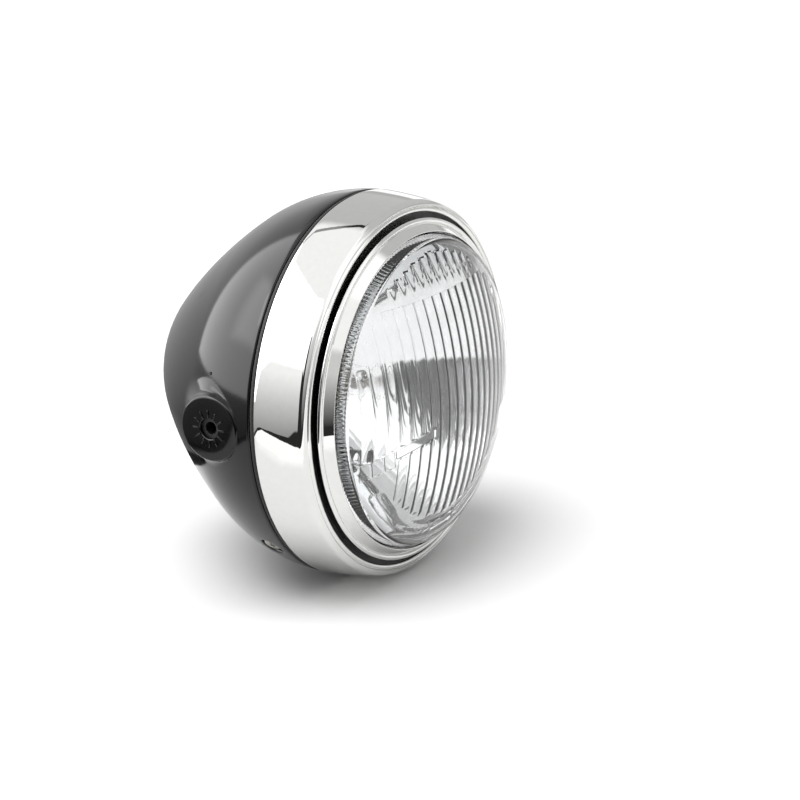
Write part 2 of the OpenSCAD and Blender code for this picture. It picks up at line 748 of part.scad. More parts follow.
post_foot = seat_back + bulb_wall;
post_r = 0.5;
dip_station = vertex + focal;
filament_step = 6;
high_station = dip_station - filament_step;
// Radius, length and sheet of the cup below the front filament
cup_shield = [4.2, 8, 0.5];
module post(x, z, top) { translate([x, -post_foot, z]) rotate([90, 0, 0]) cylinder(r = post_r, h = top - post_foot); }
module bulb_shield() {
    r = cup_shield.x;
    half = cup_shield.y / 2;
    color(zinc) {
        difference() {
            lathe() polygon([[0, dip_station + half], [r, dip_station + half], [r, dip_station - half],
                [r - cup_shield.z, dip_station - half], [r - cup_shield.z, dip_station + half - cup_shield.z],
                [0, dip_station + half - cup_shield.z]]);
            translate([-cut / 2, -dip_station - cut / 2, 0]) cube(cut);
        }
        post(0, -r, dip_station);
    }
}
coil_r = 0.8;
coil_len = 5;
// Each filament's two posts stand this far to its sides
post_side = [5, 3];
module bulb_filaments() {
    stations = [dip_station, high_station];
    color("#8f8f8a") for (i = [0, 1]) {
        translate([0, coil_len / 2 - stations[i], 0]) rotate([90, 0, 0]) cylinder(r = coil_r, h = coil_len);
        for (end = [-1, 1]) {
            x = end * post_side[i];
            station = stations[i] - end * (coil_len / 2 - post_r);
            post(x, coil_r, station + post_r);
            translate([min(x, 0), -station - post_r, coil_r - post_r]) cube([abs(x), 2 * post_r, 2 * post_r]);
        }
    }
}
module bulb_base() {
    color("#d9d4c4") lathe() translate([0, cup_back - base_len]) square([base_r, base_len + cup_len - base_gap]);
}
module bulb_terminals() {
    blade = [6.3, 12, 0.8];
    back = -(cup_back - base_len);
    color(zinc) {
        for (x = [-8, 8]) translate([x - blade.z / 2, back, -blade.x / 2 - 2]) cube([blade.z, blade.y, blade.x]);
        translate([-blade.x / 2, back, 8]) cube([blade.x, blade.y, blade.z]);
    }
}
boot_wall = 1.7;
boot_lip = 1.5;
boot_skirt = 4.9;
boot_neck = [5.3, 4.6];
boot_tail = 0.8;
module dust_boot() {
    neck_in = base_r + fit_gap;
    front = neck_end + fit_gap;
    back = cup_back - base_len;
    // The face that lies on the seat's edge and on the bulb's base
    path = [[seat_r - boot_lip, front], [seat_r + fit_gap, front], [seat_r + fit_gap, seat_back - boot_skirt],
        [neck_in + boot_neck.x, cup_back - boot_tail], [neck_in, back + boot_neck.y], [neck_in, back - boot_tail]];
    color(rubber) lathe() polygon(sheet(path, boot_wall));
}

// Parking lamp in the reflector's lower half
parking_wall = 0.8;
parking_lip = 2;
parking_sleeve = 7;
parking_tail = 12;
parking_nose = 9;
module parking_grommet() {
    bore = parking_r + parking_wall;
    color(rubber) parking_axis() lathe() polygon([[bore, tube_end - parking_lip],
        [tube_bore_r + 2.5, tube_end - parking_lip], [tube_bore_r + 2.5, tube_end], [tube_bore_r - fit_gap, tube_end],
        [tube_bore_r - fit_gap, tube_end + parking_sleeve], [bore, tube_end + parking_sleeve]]);
}
module parking_holder() {
    r = parking_r + parking_wall - fit_gap;
    collar = r + 3;
    color("#2a2a2a") parking_axis() lathe() polygon([[0, tube_end - parking_tail], [r, tube_end - parking_tail],
        [r, tube_end - 2 * parking_lip], [collar, tube_end - 2 * parking_lip], [collar, tube_end - parking_lip],
        [r, tube_end - parking_lip], [r, tube_end + parking_nose], [0, tube_end + parking_nose]]);
}
module parking_bulb() {
    foot = tube_end + parking_nose;
    neck = 2 * parking_r;
    color(clear_glass) parking_axis() lathe() intersection() {
        translate([0, foot]) square([parking_r, 2 * neck]);
        union() {
            translate([0, foot]) square([parking_r, neck]);
            translate([0, foot + neck]) circle(r = parking_r);
        }
    }
}

module cable_grommet() {
    outer = 3;
    inner = 2.5;
    color(rubber) out_of_tail() rotate_extrude() polygon([[cable_bore_r, -shell_wall - inner],
        [cable_hole_r + 2.6, -shell_wall - inner], [cable_hole_r + 2.6, -shell_wall],
        [cable_hole_r - fit_gap, -shell_wall], [cable_hole_r - fit_gap, 0], [cable_hole_r + 3.6, 0],
        [cable_hole_r + 3.6, outer - 1.2], [cable_hole_r + 2.4, outer], [cable_bore_r, outer]]);
}

shell();
side_insert_right();
side_insert_left();
shell_seal();
rim();
rim_hook();
rim_lug_right();
rim_lug_left();
rim_nuts();
rim_screws();
mounting_ring();
ring_clips();
inner_ring();
lens();
lens_seal();
reflector();
bulb_seat();
bulb_clip();
bulb_collar();
bulb_glass();
bulb_shield();
bulb_filaments();
bulb_base();
bulb_terminals();
dust_boot();
parking_grommet();
parking_holder();
parking_bulb();
cable_grommet();
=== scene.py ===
# %% [markdown]
# A round motorcycle headlight, dressed around its construction model. The construction model is the
# fixed frame: every piece here is made in that frame and stays inside its box. A point at station t lies
# t millimetres in front of the side bolts, which is at y = -t.

# %% Load the frame
import math

import bmesh
import bpy
from mathutils import Matrix, Vector


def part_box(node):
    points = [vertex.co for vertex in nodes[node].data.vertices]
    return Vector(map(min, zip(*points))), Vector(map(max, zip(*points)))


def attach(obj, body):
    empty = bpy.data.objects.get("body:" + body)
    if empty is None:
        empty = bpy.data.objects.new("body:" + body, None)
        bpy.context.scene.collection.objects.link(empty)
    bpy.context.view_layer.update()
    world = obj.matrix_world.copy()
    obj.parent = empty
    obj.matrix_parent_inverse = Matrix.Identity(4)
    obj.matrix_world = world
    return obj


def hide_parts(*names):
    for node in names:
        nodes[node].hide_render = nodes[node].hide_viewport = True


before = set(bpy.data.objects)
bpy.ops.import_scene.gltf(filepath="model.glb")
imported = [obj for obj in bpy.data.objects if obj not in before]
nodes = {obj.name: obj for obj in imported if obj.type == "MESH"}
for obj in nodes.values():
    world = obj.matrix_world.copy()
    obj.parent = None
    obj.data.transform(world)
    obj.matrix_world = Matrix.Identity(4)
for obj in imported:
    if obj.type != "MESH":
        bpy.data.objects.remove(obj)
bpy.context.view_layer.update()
scene = bpy.context.scene
print("frame:", len(nodes), "nodes")

# %% [markdown]
# The camera stands where the photographer stood: in front of the lamp, to its right side and a little
# above it. A long lens keeps the circles calm. It looks at a point beside the lamp, because the lamp is
# left of the middle.

# %% Camera
MM = 0.001
CAMERA_AZIMUTH = math.radians(-56.297)
CAMERA_HEIGHT = math.radians(16.961)
CAMERA_ROLL = math.radians(-2.2)
CAMERA_DISTANCE = 1250 * MM
LENS_PER_PIXEL = 2323.15
OFF_CENTRE = (33.64, 17.78)
RIM_BACK = -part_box("rim")[1].y / MM


def camera_axes():
    """The directions to the camera, to its right and up, with the camera level."""
    level = math.cos(CAMERA_HEIGHT)
    back = Vector((math.sin(CAMERA_AZIMUTH) * level, -math.cos(CAMERA_AZIMUTH) * level,
                   math.sin(CAMERA_HEIGHT)))
    right = (-back).cross(Vector((0, 0, 1))).normalized()
    return back, right, right.cross(-back)


def place_camera():
    back, right, up = camera_axes()
    rolled_right = math.cos(CAMERA_ROLL) * right + math.sin(CAMERA_ROLL) * up
    rolled_up = math.cos(CAMERA_ROLL) * up - math.sin(CAMERA_ROLL) * right
    middle = Vector((0, -RIM_BACK * MM, 0))
    place = middle + back * CAMERA_DISTANCE
    reach = CAMERA_DISTANCE / LENS_PER_PIXEL
    aim = middle + rolled_right * OFF_CENTRE[0] * reach - rolled_up * OFF_CENTRE[1] * reach
    out = (place - aim).normalized()
    side = rolled_up.cross(out).normalized()
    data = bpy.data.cameras.new("camera")
    data.sensor_width = 36
    data.lens = LENS_PER_PIXEL * data.sensor_width / 800
    data.clip_end = 20
    camera = bpy.data.objects.new("camera", data)
    turn = Matrix((side, out.cross(side), out)).transposed()
    camera.matrix_world = Matrix.Translation(place) @ turn.to_4x4()
    scene.collection.objects.link(camera)
    scene.camera = camera
    return camera


camera = place_camera()
print("camera at", [round(v, 3) for v in camera.matrix_world.translation])

# %% [markdown]
# Every finish is a small node tree. One function turns a colour as it is written on a paint card, in
# hex, into the linear numbers that the shader needs. One more adds a node with its settings and its
# links.

# %% Helpers for finishes
def linear(colour):
    """Linear red, green, blue and alpha of an sRGB hex colour."""
    parts = [int(colour[i:i + 2], 16) / 255 for i in (1, 3, 5)]
    return [p / 12.92 if p <= 0.04045 else ((p + 0.055) / 1.055) ** 2.4 for p in parts] + [1]


def add(tree, kind, inputs=None, **settings):
    """Adds a node. A value of inputs is a number, a colour or an output of another node."""
    node = tree.nodes.new(kind)
    for name, value in settings.items():
        setattr(node, name, value)
    for socket, value in (inputs or {}).items():
        if isinstance(value, bpy.types.NodeSocket):
            tree.links.new(value, node.inputs[socket])
        else:
            node.inputs[socket].default_value = value
    return node


def finish_tree(name):
    """A new material with its node tree, its coordinates in metres and its principled shader."""
    material = bpy.data.materials.new(name)
    material.use_nodes = True
    tree = material.node_tree
    tree.nodes.clear()
    place = add(tree, "ShaderNodeTexCoord").outputs["Object"]
    shader = add(tree, "ShaderNodeBsdfPrincipled")
    add(tree, "ShaderNodeOutputMaterial", {"Surface": shader.outputs["BSDF"]})
    return material, tree, place, shader


def noise(tree, place, size_mm, detail=2.0, rough=0.5):
    """A cloudy pattern whose blobs are about size_mm across."""
    grain = add(tree, "ShaderNodeTexNoise", {"Vector": place, "Scale": 1 / (size_mm * MM), "Detail": detail,
                                             "Roughness": rough})
    return grain.outputs["Fac"]


def spread(tree, value, results, ends=(0, 1)):
    """Spreads a value between two ends over two results."""
    return add(tree, "ShaderNodeMapRange", {"Value": value, "From Min": ends[0], "From Max": ends[1],
                                            "To Min": results[0], "To Max": results[1]}).outputs["Result"]


def bump(tree, height, depth_mm, first=None):
    """A surface normal from a height pattern that is depth_mm deep, on top of a first one if given."""
    relief = add(tree, "ShaderNodeBump", {"Height": height, "Distance": depth_mm * MM, "Strength": 1.0})
    if first:
        tree.links.new(first, relief.inputs["Normal"])
    return relief.outputs["Normal"]


def mixed(tree, share, first, second):
    """A colour between two hex colours."""
    blend = add(tree, "ShaderNodeMix", {"Factor": share}, data_type="RGBA")
    blend.inputs[6].default_value = linear(first)
    blend.inputs[7].default_value = linear(second)
    return blend.outputs[2]


def dress(shader, **values):
    """Sets the shader's sockets. An underscore in a name stands for a space."""
    tree = shader.id_data
    for name, value in values.items():
        socket = shader.inputs[name.replace("_", " ")]
        if isinstance(value, bpy.types.NodeSocket):
            tree.links.new(value, socket)
        else:
            socket.default_value = value


# %% [markdown]
# The shell is pressed steel in gloss black enamel. Enamel is a smooth clear film over a black ground, so
# it shows no colour of its own: what the eye sees is the room in it, a little softened by the film's
# orange peel.

# %% Painted finishes
def gloss_enamel():
    material, tree, place, shader = finish_tree("gloss_black_enamel")
    peel = noise(tree, place, 5, detail=1)
    dust = noise(tree, place, 0.8, detail=3)
    dress(shader, Base_Color=mixed(tree, dust, "#040404", "#080707"),
          Roughness=spread(tree, dust, (0.09, 0.13)), IOR=1.42, Normal=bump(tree, peel, 0.008))
    return material


def satin_paint():
    material, tree, place, shader = finish_tree("satin_black_paint")
    grain = noise(tree, place, 0.6, detail=4)
    dress(shader, Base_Color=mixed(tree, grain, "#0a0a0a", "#151515"),
          Roughness=spread(tree, grain, (0.4, 0.55)), Normal=bump(tree, grain, 0.02))
    return material


enamel = gloss_enamel()
satin = satin_paint()

# %% [markdown]
# Bright chrome over steel is a mirror with a slightly cool tint. A pressed rim is never perfectly flat,
# so a shallow, slow waviness makes the edges of what it mirrors run in soft waves.

# %% Metal finishes
def chrome_plate():
    material, tree, place, shader = finish_tree("chromed_steel")
    swell = noise(tree, place, 34, detail=1)
    ripple = noise(tree, place, 7, detail=2)
    haze = noise(tree, place, 3, detail=2)
    dress(shader, Base_Color=mixed(tree, haze, "#d6d6d4", "#dddddb"), Metallic=1.0,
          Roughness=spread(tree, haze, (0.01, 0.03)),
          Normal=bump(tree, ripple, 0.012, first=bump(tree, swell, 0.2)))
    return material


def plain_metal(name, dark, light, low, high, grain_mm):
    """A bare or zinc plated metal whose skin is a little cloudy."""
    material, tree, place, shader = finish_tree(name)
    cloud = noise(tree, place, grain_mm, detail=5, rough=0.6)
    dress(shader, Base_Color=mixed(tree, cloud, dark, light), Metallic=1.0,
          Roughness=spread(tree, cloud, (low, high)), Normal=bump(tree, cloud, 0.01))
    return material


chrome = chrome_plate()
zinc = plain_metal("zinc_plated_steel", "#a9a79f", "#c6c4ba", 0.22, 0.4, 1.5)
spring = plain_metal("bright_spring_steel", "#a8a8a4", "#bdbdb8", 0.2, 0.32, 1)
wire = plain_metal("nickel_wire", "#8f8d88", "#aaa8a2", 0.25, 0.4, 0.5)
brass = plain_metal("stamped_brass", "#b08f4e", "#cbb072", 0.22, 0.36, 1)
silvering = plain_metal("vacuum_coated_aluminium", "#dfe1e2", "#e6e7e8", 0.03, 0.06, 12)

# %% [markdown]
# The lens is clear pressed glass. It is a solid with two skins, so light bends on the way in and on the
# way out, and the flutes work as real lenses do. Pressing leaves the skins very slightly wavy.

# %% Glass finishes
def clear_glass(name, index, tint, wave_mm, depth_mm):
    material, tree, place, shader = finish_tree(name)
    wave = noise(tree, place, wave_mm, detail=1)
    dress(shader, Base_Color=linear(tint), Transmission_Weight=1.0, Roughness=0.0, IOR=index,
          Normal=bump(tree, wave, depth_mm))
    return material


pressed_glass = clear_glass("clear_pressed_glass", 1.52, "#ffffff", 9, 0.015)
blown_glass = clear_glass("clear_blown_glass", 1.47, "#ffffff", 6, 0.01)

# %% [markdown]
# Rubber and plastic are dull. Their look comes from a fine grain and from a broad, weak shine.

# %% Rubber and plastic finishes
def dull(name, dark, light, low, high, grain_mm, depth_mm):
    material, tree, place, shader = finish_tree(name)
    grain = noise(tree, place, grain_mm, detail=4, rough=0.6)
    dress(shader, Base_Color=mixed(tree, grain, dark, light), Roughness=spread(tree, grain, (low, high)),
          Normal=bump(tree, grain, depth_mm))
    return material


rubber = dull("moulded_rubber", "#0e0e0e", "#1c1c1c", 0.55, 0.75, 0.7, 0.03)
silicone = dull("pale_silicone", "#d6d6d2", "#e2e2de", 0.5, 0.65, 1.2, 0.02)
black_plastic = dull("black_nylon", "#181818", "#242424", 0.4, 0.55, 0.5, 0.02)
cream_plastic = dull("cream_bakelite", "#cfc9b6", "#dcd6c4", 0.4, 0.5, 0.8, 0.01)
print("finishes:", len(bpy.data.materials))

# %% [markdown]
# Most of the lamp is turned or pressed round its optical axis. Such a piece is drawn as half of its
# section, in pairs of radius and station, and spun once round. The spin makes the same even quads that a
# lathe would cut, so mirror finishes stay smooth. Sharp folds are marked by their angle, and all else is
# shaded smooth.

# %% Helpers for turned pieces
def on_circle(centre, radius, angle):
    """A point on a circle in a section, at an angle in degrees."""
    turn = math.radians(angle)
    return (centre[0] + radius * math.cos(turn), centre[1] + radius * math.sin(turn))


def arc(centre, radius, start, end, steps):
    """Points along an arc, both ends included."""
    return [on_circle(centre, radius, start + (end - start) * i / steps) for i in range(steps + 1)]


def close_up(bm, least=1e-4):
    """Merges doubled corners, also those at a pole, and turns all faces outwards."""
    bmesh.ops.remove_doubles(bm, verts=bm.verts, dist=least)
    bmesh.ops.recalc_face_normals(bm, faces=bm.faces)


def spin(bm, section, steps, closed=True):
    """Spins a section round the optical axis."""
    corners = [bm.verts.new((radius, -station, 0)) for radius, station in section]
    sides = [bm.edges.new(pair) for pair in zip(corners, corners[1:])]
    if closed:
        sides.append(bm.edges.new((corners[-1], corners[0])))
    bmesh.ops.spin(bm, geom=corners + sides, cent=(0, 0, 0), axis=(0, 1, 0), angle=2 * math.pi, steps=steps,
                   use_merge=True)
    close_up(bm)


def piece(name, bm, finish, stands_for, crease=30):
    """Turns a bmesh in millimetres into an object in metres that rides on the lamp."""
    bmesh.ops.scale(bm, vec=(MM, MM, MM), verts=bm.verts)
    mesh = bpy.data.meshes.new(name)
    bm.to_mesh(mesh)
    bm.free()
    mesh.shade_smooth()
    mesh.set_sharp_from_angle(angle=math.radians(crease))
    mesh.materials.append(finish)
    made = bpy.data.objects.new(name, mesh)
    scene.collection.objects.link(made)
    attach(made, "root")
    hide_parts(*stands_for)
    print(name, len(mesh.polygons), "faces")
    return made


def extrude_ring(bm, loop, place):
    """Draws one more ring of faces from a loop of edges. The function place moves each new corner."""
    made = bmesh.ops.extrude_edge_only(bm, edges=loop)["geom"]
    fresh = {item for item in made if isinstance(item, bmesh.types.BMVert)}
    for corner in fresh:
        corner.co = place(corner.co)
    return [item for item in made if isinstance(item, bmesh.types.BMEdge) and fresh.issuperset(item.verts)]


def frame_at(origin, out, along=(0, 1, 0)):
    """A local frame in which +Z is out, for a boss, a recess or a hole."""
    out = Vector(out).normalized()
    first = Vector(along).normalized()
    return Matrix.Translation(origin) @ Matrix((first, out.cross(first), out)).transposed().to_4x4()


def towards(local, radius, share, height):
    """Moves a point towards a circle round the local axis by a share of the way, and sets its height."""
    back = local.inverted()

    def place(point):
        flat = back @ point
        old = math.hypot(flat.x, flat.y)
        scale = (old + (radius - old) * share) / old
        flat.x *= scale
        flat.y *= scale
        flat.z = height(flat.x, flat.y)
        return local @ flat

    return place


def cut_window(bm, inside):
    """Removes the faces whose middles are inside, and gives the loop of edges that is left open."""
    gone = [face for face in bm.faces if inside(face.calc_center_median())]
    edges = {edge for face in gone for edge in face.edges}
    bmesh.ops.delete(bm, geom=gone, context="FACES")
    return [edge for edge in edges if edge.is_valid and edge.is_boundary]


# %% [markdown]
# The shell is one deep pressing. Its section is three arcs that run into each other: a tight nose behind
# the rim, a long, nearly straight flank and a round tail. Round each side bolt hole it swells into a
# boss with a flat face. A boss is not drawn on top: a window is cut in the spun grid and rings of faces
# are drawn from the window's edge to the boss face, so that one skin runs on and the foot of the boss is
# a soft fillet.

# %% Sizes of the shell
RIM_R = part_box("rim")[1].x / MM
SHELL_R = RIM_R - 0.1
SHELL_WALL = 1.2
SHOULDER = RIM_BACK - 3
NOSE_R = 87
NOSE_SLOPE = 1
FLANK_R = 300
FLANK_SLOPE = 33.3
TAIL_SLOPE = 46.1
COLLAR_R = SHELL_R - 3.7
COLLAR_FRONT = SHOULDER + 7
NOSE = (SHELL_R - NOSE_R * math.cos(math.radians(NOSE_SLOPE)),
        SHOULDER + NOSE_R * math.sin(math.radians(NOSE_SLOPE)))
FLANK = on_circle(NOSE, NOSE_R - FLANK_R, -FLANK_SLOPE)
TAIL_JOIN = on_circle(FLANK, FLANK_R, -TAIL_SLOPE)
TAIL_R = TAIL_JOIN[0] / math.cos(math.radians(TAIL_SLOPE))
TAIL = (0, TAIL_JOIN[1] + TAIL_R * math.sin(math.radians(TAIL_SLOPE)))
FLANK_JOIN = on_circle(NOSE, NOSE_R, -FLANK_SLOPE)


def bowl_r(station):
    """Radius of the shell's outer skin at a station."""
    if station > FLANK_JOIN[1]:
        centre, radius = NOSE, NOSE_R
    elif station > TAIL_JOIN[1]:
        centre, radius = FLANK, FLANK_R
    else:
        centre, radius = TAIL, TAIL_R
    rise = station - centre[1]
    return centre[0] + math.sqrt(max(radius * radius - rise * rise, 0))


print("shell radius", round(SHELL_R, 2), "tail at", round(TAIL[1] - TAIL_R, 2))

# %% Shell
BOSS_FACE = SHELL_R + 0.1
BOSS_R = 17.7
BOSS_EDGE = 1.6
BOSS_DRAFT = 12
BOSS_SIDE = 2
BOSS_FLARE_R = 12
BOSS_FLARE_END = 32
BOSS_HOLE_R = 5.7
BOSS_HOLE_DEPTH = 2
BOSS_FILLET = 5.5
BOSS_RINGS = 22
BOSS_WINDOW = (-36, 24, 22.5)
RECESS_STATION = 13
RECESS_ANGLE = 135
RECESS_R = 6.2
RECESS_FLOOR = COLLAR_R - 0.7
RECESS_WINDOW = (4, 22, 6.25)
SCREW_HOLE_R = 2.85
CABLE_ANGLE = 26
CABLE_FLAT_R = 17
CABLE_HOLE_R = 11
GRID_STEP = 2
AROUND = 288
SHOULDER_ROW = int(SHOULDER) - 1

EDGE_CENTRE = (BOSS_R - BOSS_EDGE, BOSS_FACE - BOSS_EDGE)
SIDE_TOP = on_circle(EDGE_CENTRE, BOSS_EDGE, BOSS_DRAFT)
SIDE_LEAN = math.radians(BOSS_DRAFT)
SIDE_FOOT = (SIDE_TOP[0] + BOSS_SIDE * math.sin(SIDE_LEAN), SIDE_TOP[1] - BOSS_SIDE * math.cos(SIDE_LEAN))
FLARE_CENTRE = on_circle(SIDE_FOOT, BOSS_FLARE_R, BOSS_DRAFT)
FLARE_FOOT = on_circle(FLARE_CENTRE, BOSS_FLARE_R, 180 + BOSS_FLARE_END)


def boss_profile(radius):
    """Height of the boss's side over the lamp's middle plane, at a distance from the bolt axis."""
    if radius < SIDE_FOOT[0]:
        return SIDE_TOP[1] - (radius - SIDE_TOP[0]) / math.tan(SIDE_LEAN)
    if radius < FLARE_FOOT[0]:
        reach = FLARE_CENTRE[0] - radius
        return FLARE_CENTRE[1] - math.sqrt(BOSS_FLARE_R ** 2 - reach ** 2)
    return FLARE_FOOT[1] - (radius - FLARE_FOOT[0]) / math.tan(math.radians(BOSS_FLARE_END))


def skin_height(y, z):
    """Distance of the shell's skin from the lamp's middle plane."""
    return math.sqrt(bowl_r(-y) ** 2 - z * z)


def boss_skin(first, second):
    """The skin near a boss: the bowl, the boss, or a fillet between them."""
    radius = math.hypot(first, second)
    bowl = skin_height(first, second)
    foot = skin_height(first * BOSS_R / radius, second * BOSS_R / radius)
    fillet = min(BOSS_FILLET, 0.8 * (BOSS_FACE - foot))
    over = boss_profile(radius) - bowl
    if over > fillet:
        return bowl + over
    if over < -fillet:
        return bowl
    return bowl + (over + fillet) ** 2 / (4 * fillet)


def level(height):
    """A height that is the same all round."""
    return lambda first, second: height


def draw_boss(bm, side):
    """Draws the boss on one side of the shell, from its window to its hole."""
    def inside(middle):
        angle = math.degrees(math.atan2(middle.x * side, middle.z))
        near, far, half = BOSS_WINDOW
        return near < -middle.y < far and abs(angle - 90) < half

    loop = cut_window(bm, inside)
    local = frame_at((0, 0, 0), (side, 0, 0))
    left = 1.0
    for ring in range(1, BOSS_RINGS + 1):
        now = (1 - ring / BOSS_RINGS) ** 1.8
        loop = extrude_ring(bm, loop, towards(local, SIDE_TOP[0], 1 - now / left, boss_skin))
        left = now
    for radius, height in arc(EDGE_CENTRE, BOSS_EDGE, BOSS_DRAFT, 90, 5)[1:]:
        loop = extrude_ring(bm, loop, towards(local, radius, 1, level(height)))
    for radius in (12, 9, BOSS_HOLE_R + 0.3):
        loop = extrude_ring(bm, loop, towards(local, radius, 1, level(BOSS_FACE)))
    for drop in (0.3, BOSS_HOLE_DEPTH):
        loop = extrude_ring(bm, loop, towards(local, BOSS_HOLE_R, 1, level(BOSS_FACE - drop)))


def draw_recess(bm, side):
    """Draws the round recess for a rim screw."""
    turn = math.radians(side * RECESS_ANGLE)
    out = Vector((math.sin(turn), 0, math.cos(turn)))

    def inside(middle):
        angle = math.degrees(math.atan2(middle.x * side, middle.z))
        near, far, half = RECESS_WINDOW
        return near < -middle.y < far and abs(angle - RECESS_ANGLE) < half

    def skin(first, second):
        return skin_height(first - RECESS_STATION, second)

    loop = cut_window(bm, inside)
    local = frame_at((0, -RECESS_STATION, 0), out)
    for radius, share in ((RECESS_R + 1.2, 0.5), (RECESS_R + 1.2, 1)):
        loop = extrude_ring(bm, loop, towards(local, radius, share, skin))
    for wider, drop in ((0.7, 0.1), (0.3, 0.35), (0, 0.9)):
        sunk = lambda first, second, drop=drop: skin(first, second) - drop
        loop = extrude_ring(bm, loop, towards(local, RECESS_R + wider, 1, sunk))
    for radius, rise in ((RECESS_R, 0.6), (RECESS_R - 0.6, 0), (SCREW_HOLE_R, 0)):
        loop = extrude_ring(bm, loop, towards(local, radius, 1, level(RECESS_FLOOR + rise)))


def draw_cable_seat(bm):
    """Flattens the tail round the cable hole."""
    turn = math.radians(CABLE_ANGLE)
    out = Vector((0, math.cos(turn), -math.sin(turn)))
    reach = math.sqrt(TAIL_R ** 2 - CABLE_FLAT_R ** 2)
    centre = Vector((0, -TAIL[1], 0)) + out * reach
    cut = bmesh.ops.bisect_plane(bm, geom=bm.verts[:] + bm.edges[:] + bm.faces[:], dist=1e-4,
                                 plane_co=centre, plane_no=out, clear_outer=True)
    loop = [item for item in cut["geom_cut"] if isinstance(item, bmesh.types.BMEdge)]
    local = frame_at(centre, out, (1, 0, 0))
    for radius in (CABLE_FLAT_R - 1, CABLE_HOLE_R):
        loop = extrude_ring(bm, loop, towards(local, radius, 1, level(0)))


def shell_section():
    """The shell's outer skin, from the collar inside the rim to the pole of the tail."""
    stations = list(range(SHOULDER_ROW, int(TAIL_JOIN[1]), -GRID_STEP))
    round_r = bowl_r(SHOULDER_ROW) - 1
    front = [(COLLAR_R, COLLAR_FRONT), (COLLAR_R, SHOULDER)] + arc((round_r, SHOULDER_ROW), 1, 90, 20, 4)
    return front + [(bowl_r(s), s) for s in stations] + arc(TAIL, TAIL_R, -TAIL_SLOPE - 1.5, -90, 24)


def make_shell():
    bm = bmesh.new()
    spin(bm, shell_section(), AROUND, closed=False)
    for side in (-1, 1):
        draw_boss(bm, side)
        draw_recess(bm, side)
    draw_cable_seat(bm)
    close_up(bm)
    return piece("shell_skin", bm, enamel, ["shell"], crease=35)


shell = make_shell()
wall = shell.modifiers.new("wall", "SOLIDIFY")
wall.thickness = SHELL_WALL * MM
wall.offset = -1

# %% [markdown]
# Twelve short bars round each bolt hole are the index marks by which the lamp's tilt is set. Each is a
# bar with broken edges, so that it catches the light as a thin bright line.

# %% Index marks and pip
MARKS = 12
MARK = (9.98, 6.1, 1.0, 0.5)
PIP_ANGLE = -74.4
PIP_STATION = -4
PIP_R = 1
PIP_HEIGHT = 0.7


def add_bar(bm, centre, size, turn, edge):
    """Adds a bar with bevelled edges to a bmesh."""
    made = bmesh.ops.create_cube(bm, size=1)["verts"]
    bmesh.ops.scale(bm, vec=size, verts=made)
    sides = list({side for corner in made for side in corner.link_edges})
    cut = bmesh.ops.bevel(bm, geom=made + sides, offset=edge, affect="EDGES", segments=2, profile=0.5,
                          material=-1)
    bmesh.ops.transform(bm, matrix=turn @ Matrix.Translation(centre), verts=cut["verts"])


def make_marks():
    bm = bmesh.new()
    outer, inner, width, height = MARK
    size = (outer - inner, width, 2 * height)
    for side in (-1, 1):
        local = frame_at((0, 0, 0), (side, 0, 0))
        for mark in range(MARKS):
            turn = local @ Matrix.Rotation(2 * math.pi * mark / MARKS, 4, "Z")
            add_bar(bm, ((outer + inner) / 2, 0, BOSS_FACE), size, turn, 0.25)
    return piece("index_marks", bm, enamel, ["shell"])


def make_pip():
    bm = bmesh.new()
    turn = math.radians(PIP_ANGLE)
    out = Vector((math.sin(turn), 0, math.cos(turn)))
    made = bmesh.ops.create_cone(bm, cap_ends=True, segments=24, radius1=PIP_R, radius2=PIP_R * 0.8,
                                 depth=2 * PIP_HEIGHT)["verts"]
    local = frame_at(out * bowl_r(PIP_STATION) - Vector((0, PIP_STATION, 0)), out)
    bmesh.ops.transform(bm, matrix=local, verts=made)
    return piece("side_pip", bm, satin, ["shell"])


make_marks()
make_pip()

# %% [markdown]
# The rim is a spun ring of chromed steel: a conical band that rises to a fat round bead, a groove, and a
# small rolled lip round the opening. The section is closed, so the sheet has its real thickness.

# %% Rim
RIM_WALL = 1
RIM_FRONT_R = RIM_R - 3
RIM_DEPTH = 25
RIM_TAPER = math.degrees(math.atan((RIM_R - RIM_FRONT_R) / RIM_DEPTH))
BEAD_R = 4.2
BEAD = on_circle((RIM_FRONT_R, RIM_BACK + RIM_DEPTH), -BEAD_R, RIM_TAPER)
LIP_R = RIM_FRONT_R - 6.6
LIP_ROLL_R = 1.4
LIP_BACK = RIM_BACK + RIM_DEPTH - 2
LIP = (LIP_R + LIP_ROLL_R, RIM_BACK + RIM_DEPTH + 2.8)
GROOVE = (LIP[0] + LIP_ROLL_R + 0.1, LIP[1] + 0.1)
REAR_ROUND = 0.5
RIM_CROWN = 0.35
RING_STEPS = 360


def rim_section():
    rear = arc((RIM_R - REAR_ROUND, RIM_BACK + REAR_ROUND), REAR_ROUND, -90, RIM_TAPER, 5)
    band_end = on_circle(BEAD, BEAD_R, RIM_TAPER)
    foot = rear[-1]
    run = (band_end[0] - foot[0], band_end[1] - foot[1])
    shares = [i / 12 for i in range(1, 12)]
    band = [(foot[0] + run[0] * t + 4 * RIM_CROWN * t * (1 - t), foot[1] + run[1] * t) for t in shares]
    bead = arc(BEAD, BEAD_R, RIM_TAPER, 78, 14)
    lip = arc(LIP, LIP_ROLL_R, 40, 180, 12)
    inside = [(LIP_R, LIP_BACK), (LIP_R + RIM_WALL, LIP_BACK), (LIP_R + RIM_WALL, LIP[1] - RIM_WALL)]
    under = arc(BEAD, BEAD_R - RIM_WALL, 88, RIM_TAPER, 10)
    return [(RIM_R - RIM_WALL, RIM_BACK)] + rear + band + bead + [GROOVE] + lip + inside + under


